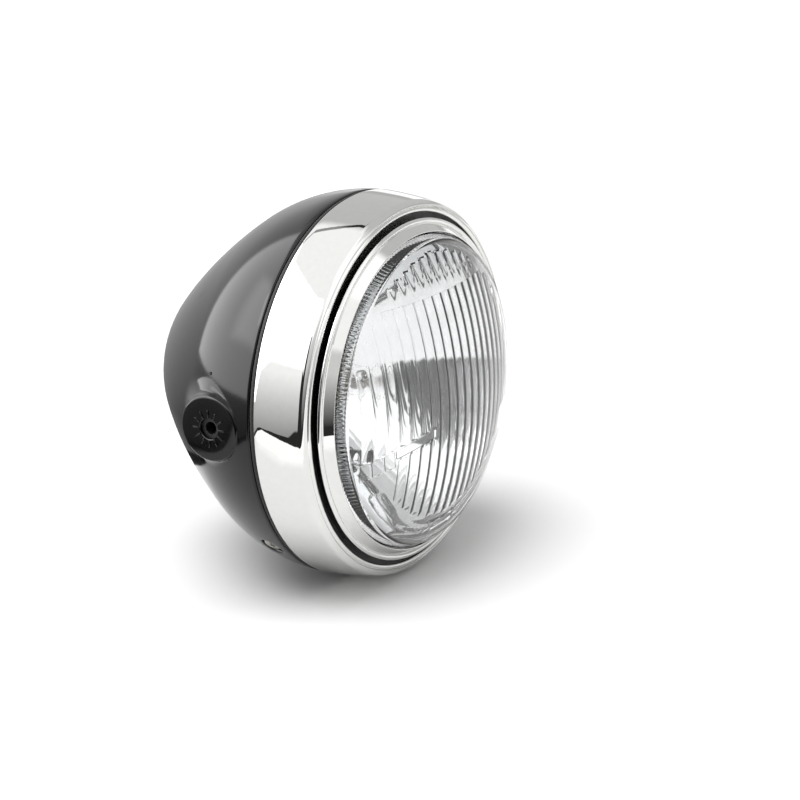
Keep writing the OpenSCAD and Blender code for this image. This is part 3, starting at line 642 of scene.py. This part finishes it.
bm = bmesh.new()
spin(bm, rim_section(), RING_STEPS)
piece("rim_ring", bm, chrome, ["rim"], crease=32)

# %% [markdown]
# Inside the rim sits a black pressed ring that carries the lens unit, and in front of it the chromed
# inner ring whose cone holds the glass. Between rim and inner ring is an open gap, into which the black
# ring shows.

# %% Mounting ring, inner ring and seal
MOUNT_R = RIM_FRONT_R - 2.8
MOUNT_DEPTH = 10
MOUNT_WALL = 1.2
BEZEL_R = LIP_R - 2.7
BEZEL_LIP_R = BEZEL_R - 7.1
BEZEL_FRONT = LIP_BACK + 13.4
BEZEL_WALL = 1
BEZEL_BEAD_R = 1.5
LENS_FOOT_R = BEZEL_R - 4.7
MOUTH_R = LENS_FOOT_R - 9
CONE_FOOT = (BEZEL_R - 3.2, BEZEL_FRONT - 4.4)
CONE_SLOPE = math.atan((BEZEL_FRONT - CONE_FOOT[1]) / (CONE_FOOT[0] - BEZEL_LIP_R))
TAB_ANGLES = (30, 150, 210, 330)
TAB = (5, 12, 0.9, 0.1)


def bezel_under(radius):
    """Station of the inner ring's face that touches the glass."""
    return BEZEL_FRONT - (radius - BEZEL_LIP_R) * math.tan(CONE_SLOPE) - BEZEL_WALL / math.cos(CONE_SLOPE)


def mounting_section():
    rear = LIP_BACK - MOUNT_DEPTH
    hole = MOUTH_R + 4
    bend = 1.5
    outer = [(MOUNT_R, rear)] + arc((MOUNT_R - bend, LIP_BACK - bend), bend, 0, 90, 5)
    inner = arc((hole + bend, LIP_BACK - bend), bend, 90, 180, 5) + [(hole, LIP_BACK - 5)]
    back = [(hole + MOUNT_WALL, LIP_BACK - 5), (hole + MOUNT_WALL, LIP_BACK - bend - MOUNT_WALL),
            (hole + bend + 0.5, LIP_BACK - MOUNT_WALL), (MOUNT_R - bend - 0.5, LIP_BACK - MOUNT_WALL),
            (MOUNT_R - MOUNT_WALL, LIP_BACK - bend - MOUNT_WALL), (MOUNT_R - MOUNT_WALL, rear)]
    return outer + inner + back


def bezel_section():
    skirt = BEZEL_R - 0.5
    bore = skirt - BEZEL_WALL
    rest = bore - 0.8
    bead = (BEZEL_R - BEZEL_BEAD_R, CONE_FOOT[1] - 1.4)
    roll = 0.5
    nose = (BEZEL_LIP_R + roll, BEZEL_FRONT - roll)
    front = arc(nose, roll, 60, 190, 6)
    return ([(bore, LIP_BACK), (skirt, LIP_BACK), (skirt, bead[1] - BEZEL_BEAD_R / 2)]
            + arc(bead, BEZEL_BEAD_R, -20, 130, 12) + [CONE_FOOT] + front
            + [(BEZEL_LIP_R, bezel_under(BEZEL_LIP_R)), (rest, bezel_under(rest)), (bore, bead[1] - 1.6)])


def make_inner_ring():
    bm = bmesh.new()
    spin(bm, bezel_section(), RING_STEPS)
    skirt = BEZEL_R - 0.5
    back = LIP_BACK - MOUNT_WALL - 0.2
    for angle in TAB_ANGLES:
        turn = math.radians(angle)
        local = frame_at((0, 0, 0), (math.sin(turn), 0, math.cos(turn)))
        reach, width, stem_wall, edge = TAB
        stem_end = back - BEZEL_WALL
        stem = (LIP_BACK + 1 - stem_end, width, stem_wall)
        add_bar(bm, (-(stem_end + LIP_BACK + 1) / 2, 0, skirt - 0.75), stem, local, edge)
        hook = (BEZEL_WALL, width, reach)
        add_bar(bm, (-(back - BEZEL_WALL / 2), 0, skirt - reach / 2 - 0.7), hook, local, edge)
    return piece("bezel_ring", bm, chrome, ["inner_ring"], crease=32)


bm = bmesh.new()
spin(bm, mounting_section(), RING_STEPS)
piece("lens_carrier", bm, satin, ["mounting_ring"])
make_inner_ring()

SEAL_THICK = 3
seal_middle = (RIM_R - 0.3 - SEAL_THICK / 2, SHOULDER + SEAL_THICK / 2)
bm = bmesh.new()
seal_bore = COLLAR_R + 0.2
seal_round = arc(seal_middle, SEAL_THICK / 2, -90, 90, 10)
spin(bm, [(seal_bore, SHOULDER)] + seal_round + [(seal_bore, RIM_BACK)], RING_STEPS)
piece("rim_seal", bm, rubber, ["shell_seal"])

# %% [markdown]
# The lens is pressed glass, domed in front. Round its shoulder stands a crown of small ribs. The outer
# skin is spun with four corners for each rib, and the corners of each groove are drawn in. The inner
# face carries the pattern that throws the beam: a main field of upright flutes, a band of bars that rise
# out of the glass at the top, a slanted bar with three pads beside it, a lower field, and two low ridges
# round the foot. It is a grid whose lines follow the flutes, so each flute is a clean round bar, and a
# pair of lines is cut wherever the pattern has a step. The grid is trimmed to a circle and bridged to
# the bore.

# %% Sizes of the lens
GLASS = 3.5
LENS_BACK = LIP_BACK + 1 + 1.5
DOME_STATION = BEZEL_FRONT + 4.6
SHOULDER_R = BEZEL_LIP_R - 0.3
SHOULDER_LEAN = 2.7
DOME_R = SHOULDER_R - SHOULDER_LEAN
DOME_HEIGHT = 19.3
DOME_SPHERE = (DOME_R ** 2 + DOME_HEIGHT ** 2) / (2 * DOME_HEIGHT)
DOME_CENTRE = DOME_STATION + DOME_HEIGHT - DOME_SPHERE
INNER_SPHERE = DOME_SPHERE - GLASS
BORE_R = MOUTH_R + 0.5
SHOULDER_STATION = BEZEL_FRONT - 1.4
DOME_RINGS = 28
RIBS = 216
RIB_DEPTH = 0.3
FLUTE_PITCH = 7.5
FLUTE_LAND = 0.8
FLUTE_HEIGHT = 0.4
BAND_HEIGHT = 1.2
BAND_TURN = 12
TOP_LINE = 56
BAND_GAP = 1.5
FIELD_RIM = 3
FOOT_R = 64
LEAST_FOOT = 20
LINE_HALF = 0.5
SLANT = math.radians(9.5)
SLANT_HEIGHT = -20
SLANT_GAP = 1.1
PADS = 3
PAD_HEIGHT = 8.5
BAR_LEN = 28
BAR_WIDTH = 4.5
RELIEF = 0.7
LOW_FIELD_START = -49
HALF_CHORD = (FLUTE_PITCH - FLUTE_LAND) / 2
FLUTE_R = (HALF_CHORD ** 2 + FLUTE_HEIGHT ** 2) / (2 * FLUTE_HEIGHT)
BAND_R = (HALF_CHORD ** 2 + BAND_HEIGHT ** 2) / (2 * BAND_HEIGHT)
FLUTE_COUNT = math.floor((BORE_R - FIELD_RIM - 1) / FLUTE_PITCH)
SLANT_START = 1 - math.sqrt(BORE_R ** 2 - (SLANT_HEIGHT - PAD_HEIGHT) ** 2)
SLANT_END = SLANT_START + (PADS * FLUTE_PITCH + BAR_LEN) * math.cos(SLANT)
# Places of the grid lines across half a flute, its edge and the middle of the land included
COLUMNS = (0, 0.85, 1.7, 2.55, HALF_CHORD, FLUTE_PITCH / 2)
ROW = 1.25
EDGE = 0.2
LEAST_FLUTE = 3
# Ridges round the lower rim of the inner face: radius, half width and height
RIDGES = ((69, 2.4, 0.35), (73.6, 1.9, 0.35))
RIDGES_TOP = -38
# Heights between which the lines of the slanted relief and of its pads are cut
SLANT_BAND = (-45, 5)
PAD_BAND = (-36, -8)
TRIM_SIDES = 96
LENS_CREASE = 11
print("dome sphere", round(DOME_SPHERE, 2), "flute radius", round(FLUTE_R, 2))

# %% Lens
def sphere_station(radius, height):
    """Station of a sphere of the dome's centre, at a distance from the axis."""
    return DOME_CENTRE + math.sqrt(radius * radius - height * height)


def lens_section():
    """The glass from its bore edge round the foot to the front of the dome."""
    foot_top = bezel_under(LENS_FOOT_R) - 0.2
    step_r = SHOULDER_R + 0.2
    height = DOME_STATION - SHOULDER_STATION
    shoulder = [(SHOULDER_R - SHOULDER_LEAN * i / 6, SHOULDER_STATION + height * i / 6) for i in range(7)]
    radii = [DOME_R * math.sqrt(1 - i / DOME_RINGS) for i in range(1, DOME_RINGS)]
    dome = [(radius, sphere_station(DOME_SPHERE, radius)) for radius in radii + [0]]
    return ([(BORE_R, sphere_station(INNER_SPHERE, BORE_R)), (BORE_R, LENS_BACK), (LENS_FOOT_R, LENS_BACK),
             (LENS_FOOT_R, foot_top), (step_r, bezel_under(step_r) - 0.2)] + shoulder + dome)


def cut_ribs(bm):
    """Draws the corners of each groove in towards the axis. Both ends of the crown stay round."""
    height = DOME_STATION - SHOULDER_STATION
    for corner in bm.verts:
        share = (-corner.co.y - SHOULDER_STATION) / height
        radius = math.hypot(corner.co.x, corner.co.z)
        if radius < DOME_R - 0.01 or not 0.01 < share < 0.99:
            continue
        turn = math.atan2(corner.co.z, corner.co.x) * RIBS / (2 * math.pi)
        depth = RIB_DEPTH * (1 - math.cos(2 * math.pi * turn)) / 2
        corner.co.x *= 1 - depth / radius
        corner.co.z *= 1 - depth / radius


def slanted(x, z):
    """Distances along and above the slanted line."""
    right = x - SLANT_START
    up = z - SLANT_HEIGHT
    return right * math.cos(SLANT) + up * math.sin(SLANT), up * math.cos(SLANT) - right * math.sin(SLANT)


def inside_by(value, low, high):
    """0 outside a range, 1 inside it, and a short slope between them."""
    return min(max(min(value - low, high - value) / EDGE, 0), 1)


def flute_spans(x):
    """Heights between which the flute at x stands, as pairs."""
    outermost = abs(x) + FLUTE_PITCH / 2
    reach = math.sqrt(BORE_R ** 2 - outermost ** 2) - FIELD_RIM
    foot = -math.sqrt(max(FOOT_R ** 2 - x * x, LEAST_FOOT ** 2))
    top = TOP_LINE - LINE_HALF
    line = SLANT_HEIGHT + (x - SLANT_START) * math.tan(SLANT)
    left = x - FLUTE_PITCH / 2
    if left > SLANT_END:
        spans = [(foot, top)]
    elif left > LOW_FIELD_START:
        spans = [(line + SLANT_GAP, top), (foot, line - BAR_WIDTH - SLANT_GAP)]
    else:
        spans = [(line + SLANT_GAP, top)]
    return [(max(low, -reach), min(high, reach)) for low, high in spans], reach


def band_lift(x, z):
    """Height of the crest of a bar of the top band, which rises out of the glass from its lower end on."""
    track = INNER_SPHERE ** 2 - x * x
    low = TOP_LINE + BAND_GAP
    plain = math.sqrt(track - z * z) - math.sqrt(track - low * low)
    return plain + math.sqrt(track - (low + BAND_TURN) ** 2) - math.sqrt(track - (z + BAND_TURN) ** 2)


def inner_rise(x, z):
    """How far the pattern on the inner face stands out from the plain glass."""
    index = round(x / FLUTE_PITCH)
    if abs(index) > FLUTE_COUNT:
        return 0
    middle = index * FLUTE_PITCH
    across = abs(x - middle)
    spans, reach = flute_spans(middle)
    share = max(inside_by(z, low, high) if high - low > LEAST_FLUTE else 0 for low, high in spans)
    rise = share * max(FLUTE_HEIGHT - FLUTE_R + math.sqrt(FLUTE_R ** 2 - across ** 2), 0)
    if TOP_LINE + BAND_GAP < z < reach and reach - TOP_LINE - BAND_GAP > LEAST_FLUTE:
        rise = max(rise, band_lift(middle, z) - BAND_R + math.sqrt(BAND_R ** 2 - across ** 2))
    if z < RIDGES_TOP:
        for ridge, half, height in RIDGES:
            off = min(abs(math.hypot(x, z) - ridge) / half, 1)
            rise = max(rise, height * math.cos(off * math.pi / 2) ** 2)
    along, above = slanted(x, z)
    pads = PADS * FLUTE_PITCH
    bar = min(inside_by(along, pads, pads + BAR_LEN), inside_by(above, -BAR_WIDTH, 0))
    pad = 0
    if 0 < along < pads:
        step = along % FLUTE_PITCH
        pad = min(inside_by(step, 0, FLUTE_PITCH - 2 * LINE_HALF), inside_by(above, -PAD_HEIGHT, 0))
    return max(rise, RELIEF * max(bar, pad))


def cut_line(bm, point, out, low=-100, high=100, right=100):
    """Cuts the grid along a line, between two heights and up to a side, so that a step can stand there."""
    faces = [face for face in bm.faces
             if low < face.calc_center_median().z < high and face.calc_center_median().x < right]
    edges = {edge for face in faces for edge in face.edges}
    corners = {corner for face in faces for corner in face.verts}
    bmesh.ops.bisect_plane(bm, geom=list(corners) + list(edges) + faces, dist=1e-4, plane_co=point,
                           plane_no=out)


def cut_steps(bm):
    """Cuts a pair of lines wherever the pattern has a step."""
    for height in (TOP_LINE - LINE_HALF - EDGE, TOP_LINE - LINE_HALF, TOP_LINE + BAND_GAP):
        cut_line(bm, (0, 0, height), (0, 0, 1))
    along = Vector((math.cos(SLANT), 0, math.sin(SLANT)))
    up = Vector((-math.sin(SLANT), 0, math.cos(SLANT)))
    start = Vector((SLANT_START, 0, SLANT_HEIGHT))
    gap = SLANT_GAP * math.cos(SLANT)
    low_top = -(BAR_WIDTH + SLANT_GAP) * math.cos(SLANT)
    for above in (-PAD_HEIGHT, -PAD_HEIGHT + EDGE, low_top - EDGE, low_top, -BAR_WIDTH, -BAR_WIDTH + EDGE,
                  -EDGE, 0, gap, gap + EDGE):
        cut_line(bm, start + up * above, up, *SLANT_BAND, SLANT_END + 2)
    for pad in range(PADS + 1):
        for step in (0, EDGE, FLUTE_PITCH - 2 * LINE_HALF - EDGE, FLUTE_PITCH - 2 * LINE_HALF):
            cut_line(bm, start + along * (pad * FLUTE_PITCH + step), along, *PAD_BAND, SLANT_END + 2)


def make_inner_face():
    """The patterned inner face as its own bmesh, trimmed to a circle just inside the bore."""
    bm = bmesh.new()
    steps = len(COLUMNS) - 1
    half = steps * 2 * (FLUTE_COUNT + 1)
    rows = round(2 * BORE_R / ROW)
    bmesh.ops.create_grid(bm, x_segments=2 * half, y_segments=rows, size=1)
    for corner in bm.verts:
        column = round(corner.co.x * half)
        middle = round(column / (2 * steps))
        offset = column - middle * 2 * steps
        x = middle * FLUTE_PITCH + math.copysign(COLUMNS[abs(offset)], offset)
        corner.co = (x, 0, corner.co.y * BORE_R)
    for side in range(TRIM_SIDES):
        turn = 2 * math.pi * side / TRIM_SIDES
        out = Vector((math.cos(turn), 0, math.sin(turn)))
        bmesh.ops.bisect_plane(bm, geom=bm.verts[:] + bm.edges[:] + bm.faces[:], dist=1e-5,
                               plane_co=out * (BORE_R - 0.6), plane_no=out, clear_outer=True)
    cut_steps(bm)
    for corner in bm.verts:
        radius = math.hypot(corner.co.x, corner.co.z)
        corner.co.y = inner_rise(corner.co.x, corner.co.z) - sphere_station(INNER_SPHERE, radius)
    return bm


def make_lens():
    bm = bmesh.new()
    spin(bm, lens_section(), 4 * RIBS, closed=False)
    cut_ribs(bm)
    inner = make_inner_face()
    mesh = bpy.data.meshes.new("inner_face")
    inner.to_mesh(mesh)
    inner.free()
    bore = [edge for edge in bm.edges if edge.is_boundary]
    before = set(bm.edges)
    bm.from_mesh(mesh)
    bpy.data.meshes.remove(mesh)
    trimmed = [edge for edge in bm.edges if edge not in before and edge.is_boundary]
    bmesh.ops.bridge_loops(bm, edges=bore + trimmed)
    close_up(bm)
    made = piece("fluted_lens", bm, pressed_glass, ["lens"], crease=LENS_CREASE)
    for edge in made.data.edges:
        middle = sum((made.data.vertices[index].co for index in edge.vertices), Vector()) / 2
        if math.hypot(middle.x, middle.z) > (DOME_R - 1) * MM and -middle.y > SHOULDER_STATION * MM:
            edge.use_edge_sharp = False
    return made


make_lens()

# %% [markdown]
# Behind the glass is the reflector, a pressed paraboloid coated with aluminium. The paraboloid is worked
# out from its focal length, and the parking lamp's hole is drawn with rings, as the bosses of the shell
# were.

# %% Reflector
FOCAL = 27
NECK_R = 21
REFLECTOR_WALL = 1
FLANGE_FRONT = LIP_BACK + REFLECTOR_WALL
VERTEX = LIP_BACK - MOUTH_R ** 2 / (4 * FOCAL)
NECK_END = VERTEX + NECK_R ** 2 / (4 * FOCAL) - 4.8
PARKING_DROP = 44
PARKING_TUBE_R = 4.4 + 3.1
PARKING_WINDOW = 12


def bowl_station(radius):
    return VERTEX + radius * radius / (4 * FOCAL)


def make_reflector():
    bm = bmesh.new()
    count = 57
    radii = [MOUTH_R + (NECK_R - MOUTH_R) * i / count for i in range(count + 1)]
    flange = [(LENS_FOOT_R, FLANGE_FRONT), (MOUTH_R + 1, FLANGE_FRONT)]
    bowl = [(radius, bowl_station(radius)) for radius in radii]
    spin(bm, flange + bowl + [(NECK_R, NECK_END)], RING_STEPS, closed=False)

    def inside(middle):
        return max(abs(middle.x), abs(middle.z + PARKING_DROP)) < PARKING_WINDOW

    loop = cut_window(bm, inside)
    local = frame_at((0, 0, -PARKING_DROP), (0, 1, 0), (1, 0, 0))
    up = local.to_3x3() @ Vector((0, 1, 0))
    height = lambda first, second: -bowl_station(math.hypot(first, second * up.z - PARKING_DROP))
    for share in (0.4, 0.5, 1):
        loop = extrude_ring(bm, loop, towards(local, PARKING_TUBE_R + 0.6, share, height))
    lower = lambda first, second: height(first, second) + 0.6
    loop = extrude_ring(bm, loop, towards(local, PARKING_TUBE_R, 1, lower))
    tube_end = -(bowl_station(PARKING_DROP) - 9)
    loop = extrude_ring(bm, loop, towards(local, PARKING_TUBE_R, 1, level(tube_end)))
    bmesh.ops.remove_doubles(bm, verts=bm.verts, dist=1e-4)
    return bm


bm = make_reflector()
bmesh.ops.recalc_face_normals(bm, faces=bm.faces)
reflector = piece("reflector_bowl", bm, silvering, ["reflector"])
backing = reflector.modifiers.new("wall", "SOLIDIFY")
backing.thickness = REFLECTOR_WALL * MM
backing.offset = -1

# %% [markdown]
# The small pieces are right as they come from the frame. They keep their meshes and get their finishes.

# %% Finishes of the carried pieces
CARRIED = {
    "side_insert_right": satin, "side_insert_left": satin, "rim_hook": zinc, "rim_lug_right": zinc,
    "rim_lug_left": zinc, "rim_nuts": zinc, "rim_screws": zinc, "ring_clips": spring, "lens_seal": silicone,
    "bulb_seat": zinc, "bulb_clip": spring, "bulb_collar": zinc, "bulb_glass": blown_glass,
    "bulb_shield": wire, "bulb_filaments": wire, "bulb_base": cream_plastic, "bulb_terminals": brass,
    "dust_boot": rubber,
    "parking_grommet": rubber, "parking_holder": black_plastic, "parking_bulb": blown_glass,
    "cable_grommet": rubber,
}
for name, finish in CARRIED.items():
    nodes[name].data.materials.clear()
    nodes[name].data.materials.append(finish)
print("carried pieces:", len(CARRIED))

# %% [markdown]
# The studio is a white room. The world is drawn by direction: a wall that pales upwards, and panels with
# soft edges where soft boxes and dark screens stand. Enamel and chrome mirror one set of panels, and the
# glass shows another. Plain light comes weakly from all round and mostly from a broad lamp above, which
# gives the floor its soft contact shadow. The camera sees white.

# %% Panels of the studio
def panel(tree, way, azimuth, height, half_wide, half_high, soft, strength):
    """A soft box in a direction, in degrees. Azimuth 0 is in front of the lamp and 90 is its left side."""
    level_part = math.cos(math.radians(height))
    turn = math.radians(azimuth)
    out = Vector((math.sin(turn) * level_part, -math.cos(turn) * level_part, math.sin(math.radians(height))))
    right = Vector((0, 0, 1)).cross(out).normalized()
    up = out.cross(right)
    parts = [add(tree, "ShaderNodeVectorMath", {0: way, 1: axis}, operation="DOT_PRODUCT").outputs["Value"]
             for axis in (out, right, up)]
    facing = add(tree, "ShaderNodeMath", {0: parts[0], 1: 0.01}, operation="MAXIMUM").outputs[0]
    sizes = []
    for part, half in zip(parts[1:], (half_wide, half_high)):
        edge = math.tan(math.radians(half))
        size = add(tree, "ShaderNodeMath", {0: part, 1: facing}, operation="DIVIDE").outputs[0]
        size = add(tree, "ShaderNodeMath", {0: size}, operation="ABSOLUTE").outputs[0]
        size = add(tree, "ShaderNodeMath", {0: size, 1: edge}, operation="DIVIDE").outputs[0]
        sizes.append(size)
    size = add(tree, "ShaderNodeMath", {0: sizes[0], 1: sizes[1]}, operation="MAXIMUM").outputs[0]
    return add(tree, "ShaderNodeMapRange", {"Value": size, "From Min": 1 + soft, "From Max": 1 - soft,
                                            "To Max": strength}, interpolation_type="SMOOTHSTEP").outputs[0]


def with_panels(tree, way, light, panels):
    """Adds the light of panels to a plain light."""
    for values in panels:
        more = panel(tree, way, *values)
        light = add(tree, "ShaderNodeMath", {0: more, 1: light}, operation="ADD").outputs[0]
    return light


# A panel has azimuth, height, half width and half height in degrees, then softness and strength.
# A negative strength is a dark screen.
PANELS = (
    (-155, 27, 36, 35, 0.05, 3.0),
    (-92, 52, 34, 9.5, 0.08, 2.4),
    (-118, 40, 36, 16, 0.25, 2.4),
    (85, 38, 42, 28, 0.15, -0.6),
    (115, 0, 12, 9, 0.3, 0.5),
    (15, 35, 18, 30, 0.3, 0.4),
)
SEEN_IN_CHROME = (
    (-77, 0, 20, 40, 0.06, -1.4),
    (-30, 0, 27, 30, 0.1, -0.45),
    (147, 57, 14, 0.8, 0.3, -0.9),
)
SEEN_IN_GLASS = (
    (-36, 8, 17, 20, 0.12, -1.4),
    (-35, 34, 12, 12, 0.15, -1.4),
)
WALL_LIGHT = (0.2, 1.28)
WALL_HEIGHTS = (-0.33, 0.3)
LEAST_LIGHT = 0.03
LAMP_WAY = (-0.31, 0.1, 0.945)
LAMP_EDGES = (0.86, 0.985)
LAMP_LIGHT = (0.5, 5.8)
print("panels:", len(PANELS + SEEN_IN_CHROME + SEEN_IN_GLASS))


# %% World
def make_world():
    world = bpy.data.worlds.new("studio")
    scene.world = world
    world.use_nodes = True
    tree = world.node_tree
    tree.nodes.clear()
    way = add(tree, "ShaderNodeTexCoord").outputs["Generated"]
    height = add(tree, "ShaderNodeSeparateXYZ", {0: way}).outputs["Z"]
    facing = add(tree, "ShaderNodeVectorMath", {0: way, 1: LAMP_WAY},
                 operation="DOT_PRODUCT").outputs["Value"]
    plain = spread(tree, facing, LAMP_LIGHT, LAMP_EDGES)
    wall = spread(tree, height, WALL_LIGHT, WALL_HEIGHTS)
    room = with_panels(tree, way, wall, PANELS)
    path = add(tree, "ShaderNodeLightPath").outputs
    seen = add(tree, "ShaderNodeMix", {"Factor": path["Is Camera Ray"], 2: plain, 3: 1.0}).outputs[0]
    for kind, panels in (("Is Glossy Ray", SEEN_IN_CHROME), ("Is Transmission Ray", SEEN_IN_GLASS)):
        light = with_panels(tree, way, room, panels)
        light = add(tree, "ShaderNodeMath", {0: light, 1: LEAST_LIGHT}, operation="MAXIMUM").outputs[0]
        seen = add(tree, "ShaderNodeMix", {"Factor": path[kind], 2: seen, 3: light}).outputs[0]
    back = add(tree, "ShaderNodeBackground", {"Color": (1, 1, 1, 1), "Strength": seen})
    add(tree, "ShaderNodeOutputWorld", {"Surface": back.outputs[0]})
    return world


world = make_world()
print(world.name, "has", len(world.node_tree.nodes), "nodes")


# %% [markdown]
# Shiny faces see the paper end at a corner on the lamp's right side, and see painted light and shade on it:
# a painted dark gap along its edge, beyond it a painted table that gets darker towards the lamp, and a
# painted glow on the paper near the edge. Through the glass the paper shows painted light, so it looks
# mostly lit, with painted dark screens like those in the room.

# %% Floor
PAPER_SLOPE = 1.07
PAPER_REACH = 329
PAPER_BACK = 160
# The far edge of the painted dark gap. Past it, shiny faces see a painted table of room light.
PAINTED_GAP_SLOPE = 0.77
PAINTED_GAP_REACH = 400
PAINTED_GAP_BACK = 185
CORNER = 20
# Where the painted glow on the paper starts and how strong it is. Only shiny faces see it.
PAINTED_GLOW_FROM = (205, 240)
PAINTED_GLOW_PAPER = 1.45
# Painted light on the paper as seen through the glass, and its share.
PAINTED_LIT_PAPER = 1.2
PAINTED_LIT_SHARE = 0.7
FLOOR_HALF = 6


def make_floor():
    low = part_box("rim")[0].z
    bm = bmesh.new()
    bmesh.ops.create_grid(bm, x_segments=1, y_segments=1, size=FLOOR_HALF)
    for corner in bm.verts:
        corner.co.z = low
    mesh = bpy.data.meshes.new("floor")
    bm.to_mesh(mesh)
    bm.free()
    floor = bpy.data.objects.new("floor", mesh)
    scene.collection.objects.link(floor)
    material = bpy.data.materials.new("white_paper_with_painted_light")
    material.use_nodes = True
    tree = material.node_tree
    tree.nodes.clear()
    place = add(tree, "ShaderNodeTexCoord").outputs["Object"]
    path = add(tree, "ShaderNodeLightPath").outputs
    spot = add(tree, "ShaderNodeSeparateXYZ", {0: place}).outputs
    back = add(tree, "ShaderNodeMath", {0: spot["Y"], 1: CORNER * MM}, operation="MAXIMUM").outputs[0]
    reaches = []
    painted_edge_masks = []
    # Masks past the paper's edge and past the gap's far edge. There shiny faces see painted shade and a
    # painted table.
    for slope, reach, depth in ((PAPER_SLOPE, PAPER_REACH, PAPER_BACK), (PAINTED_GAP_SLOPE, PAINTED_GAP_REACH, PAINTED_GAP_BACK)):
        out = add(tree, "ShaderNodeMath", {0: back, 1: slope, 2: spot["X"]},
                  operation="MULTIPLY_ADD").outputs[0]
        reaches.append(out)
        side = add(tree, "ShaderNodeMath", {0: out, 1: -reach * MM}, operation="LESS_THAN").outputs[0]
        rear = add(tree, "ShaderNodeMath", {0: spot["Y"], 1: depth * MM},
                   operation="GREATER_THAN").outputs[0]
        painted_edge_masks.append(add(tree, "ShaderNodeMath", {0: side, 1: rear}, operation="MAXIMUM").outputs[0])
    # The painted glow grows towards the paper's edge.
    bright = spread(tree, reaches[0], (0, 1), [-edge * MM for edge in PAINTED_GLOW_FROM])
    way = add(tree, "ShaderNodeVectorMath", {0: place}, operation="NORMALIZE").outputs[0]
    # Painted dark screens on the paper, seen through the glass.
    painted_screens = with_panels(tree, way, 0.0, SEEN_IN_GLASS)
    painted_screen_share = add(tree, "ShaderNodeMath", {0: painted_screens, 1: -1.0},
               operation="MULTIPLY", use_clamp=True).outputs[0]
    # The painted table is the room's wall light and chrome screens, painted onto the paper.
    height = add(tree, "ShaderNodeSeparateXYZ", {0: way}).outputs["Z"]
    wall = spread(tree, height, WALL_LIGHT, WALL_HEIGHTS)
    painted_table = with_panels(tree, way, wall, SEEN_IN_CHROME)
    painted_table = add(tree, "ShaderNodeMath", {0: painted_table, 1: LEAST_LIGHT}, operation="MAXIMUM").outputs[0]
    paper = add(tree, "ShaderNodeBsdfDiffuse", {"Color": linear("#fcfcfc")}).outputs[0]
    # These emissions paint light and shade on the paper: a painted glow, painted shade in dark, painted lit
    # paper, and the painted table's room light in far.
    painted_glow, dark, painted_lit, far = [
        add(tree, "ShaderNodeEmission", {"Color": (1, 1, 1, 1), "Strength": strength}).outputs[0]
        for strength in (PAINTED_GLOW_PAPER, LEAST_LIGHT, PAINTED_LIT_PAPER, painted_table)]
    surface = paper
    # Shiny faces see the painted glow, the painted dark gap and the painted table. The glass sees painted
    # lit paper and painted dark screens.
    for kind, share, shade in (("Is Glossy Ray", bright, painted_glow), ("Is Glossy Ray", painted_edge_masks[0], dark),
                               ("Is Glossy Ray", painted_edge_masks[1], far), ("Is Transmission Ray", PAINTED_LIT_SHARE, painted_lit),
                               ("Is Transmission Ray", painted_screen_share, dark)):
        share = add(tree, "ShaderNodeMath", {0: path[kind], 1: share}, operation="MULTIPLY").outputs[0]
        surface = add(tree, "ShaderNodeMixShader", {0: share, 1: surface, 2: shade}).outputs[0]
    add(tree, "ShaderNodeOutputMaterial", {"Surface": surface})
    mesh.materials.append(material)
    return floor


floor = make_floor()
scene.view_settings.view_transform = "Standard"
print("floor at", round(floor.data.vertices[0].co.z, 4))
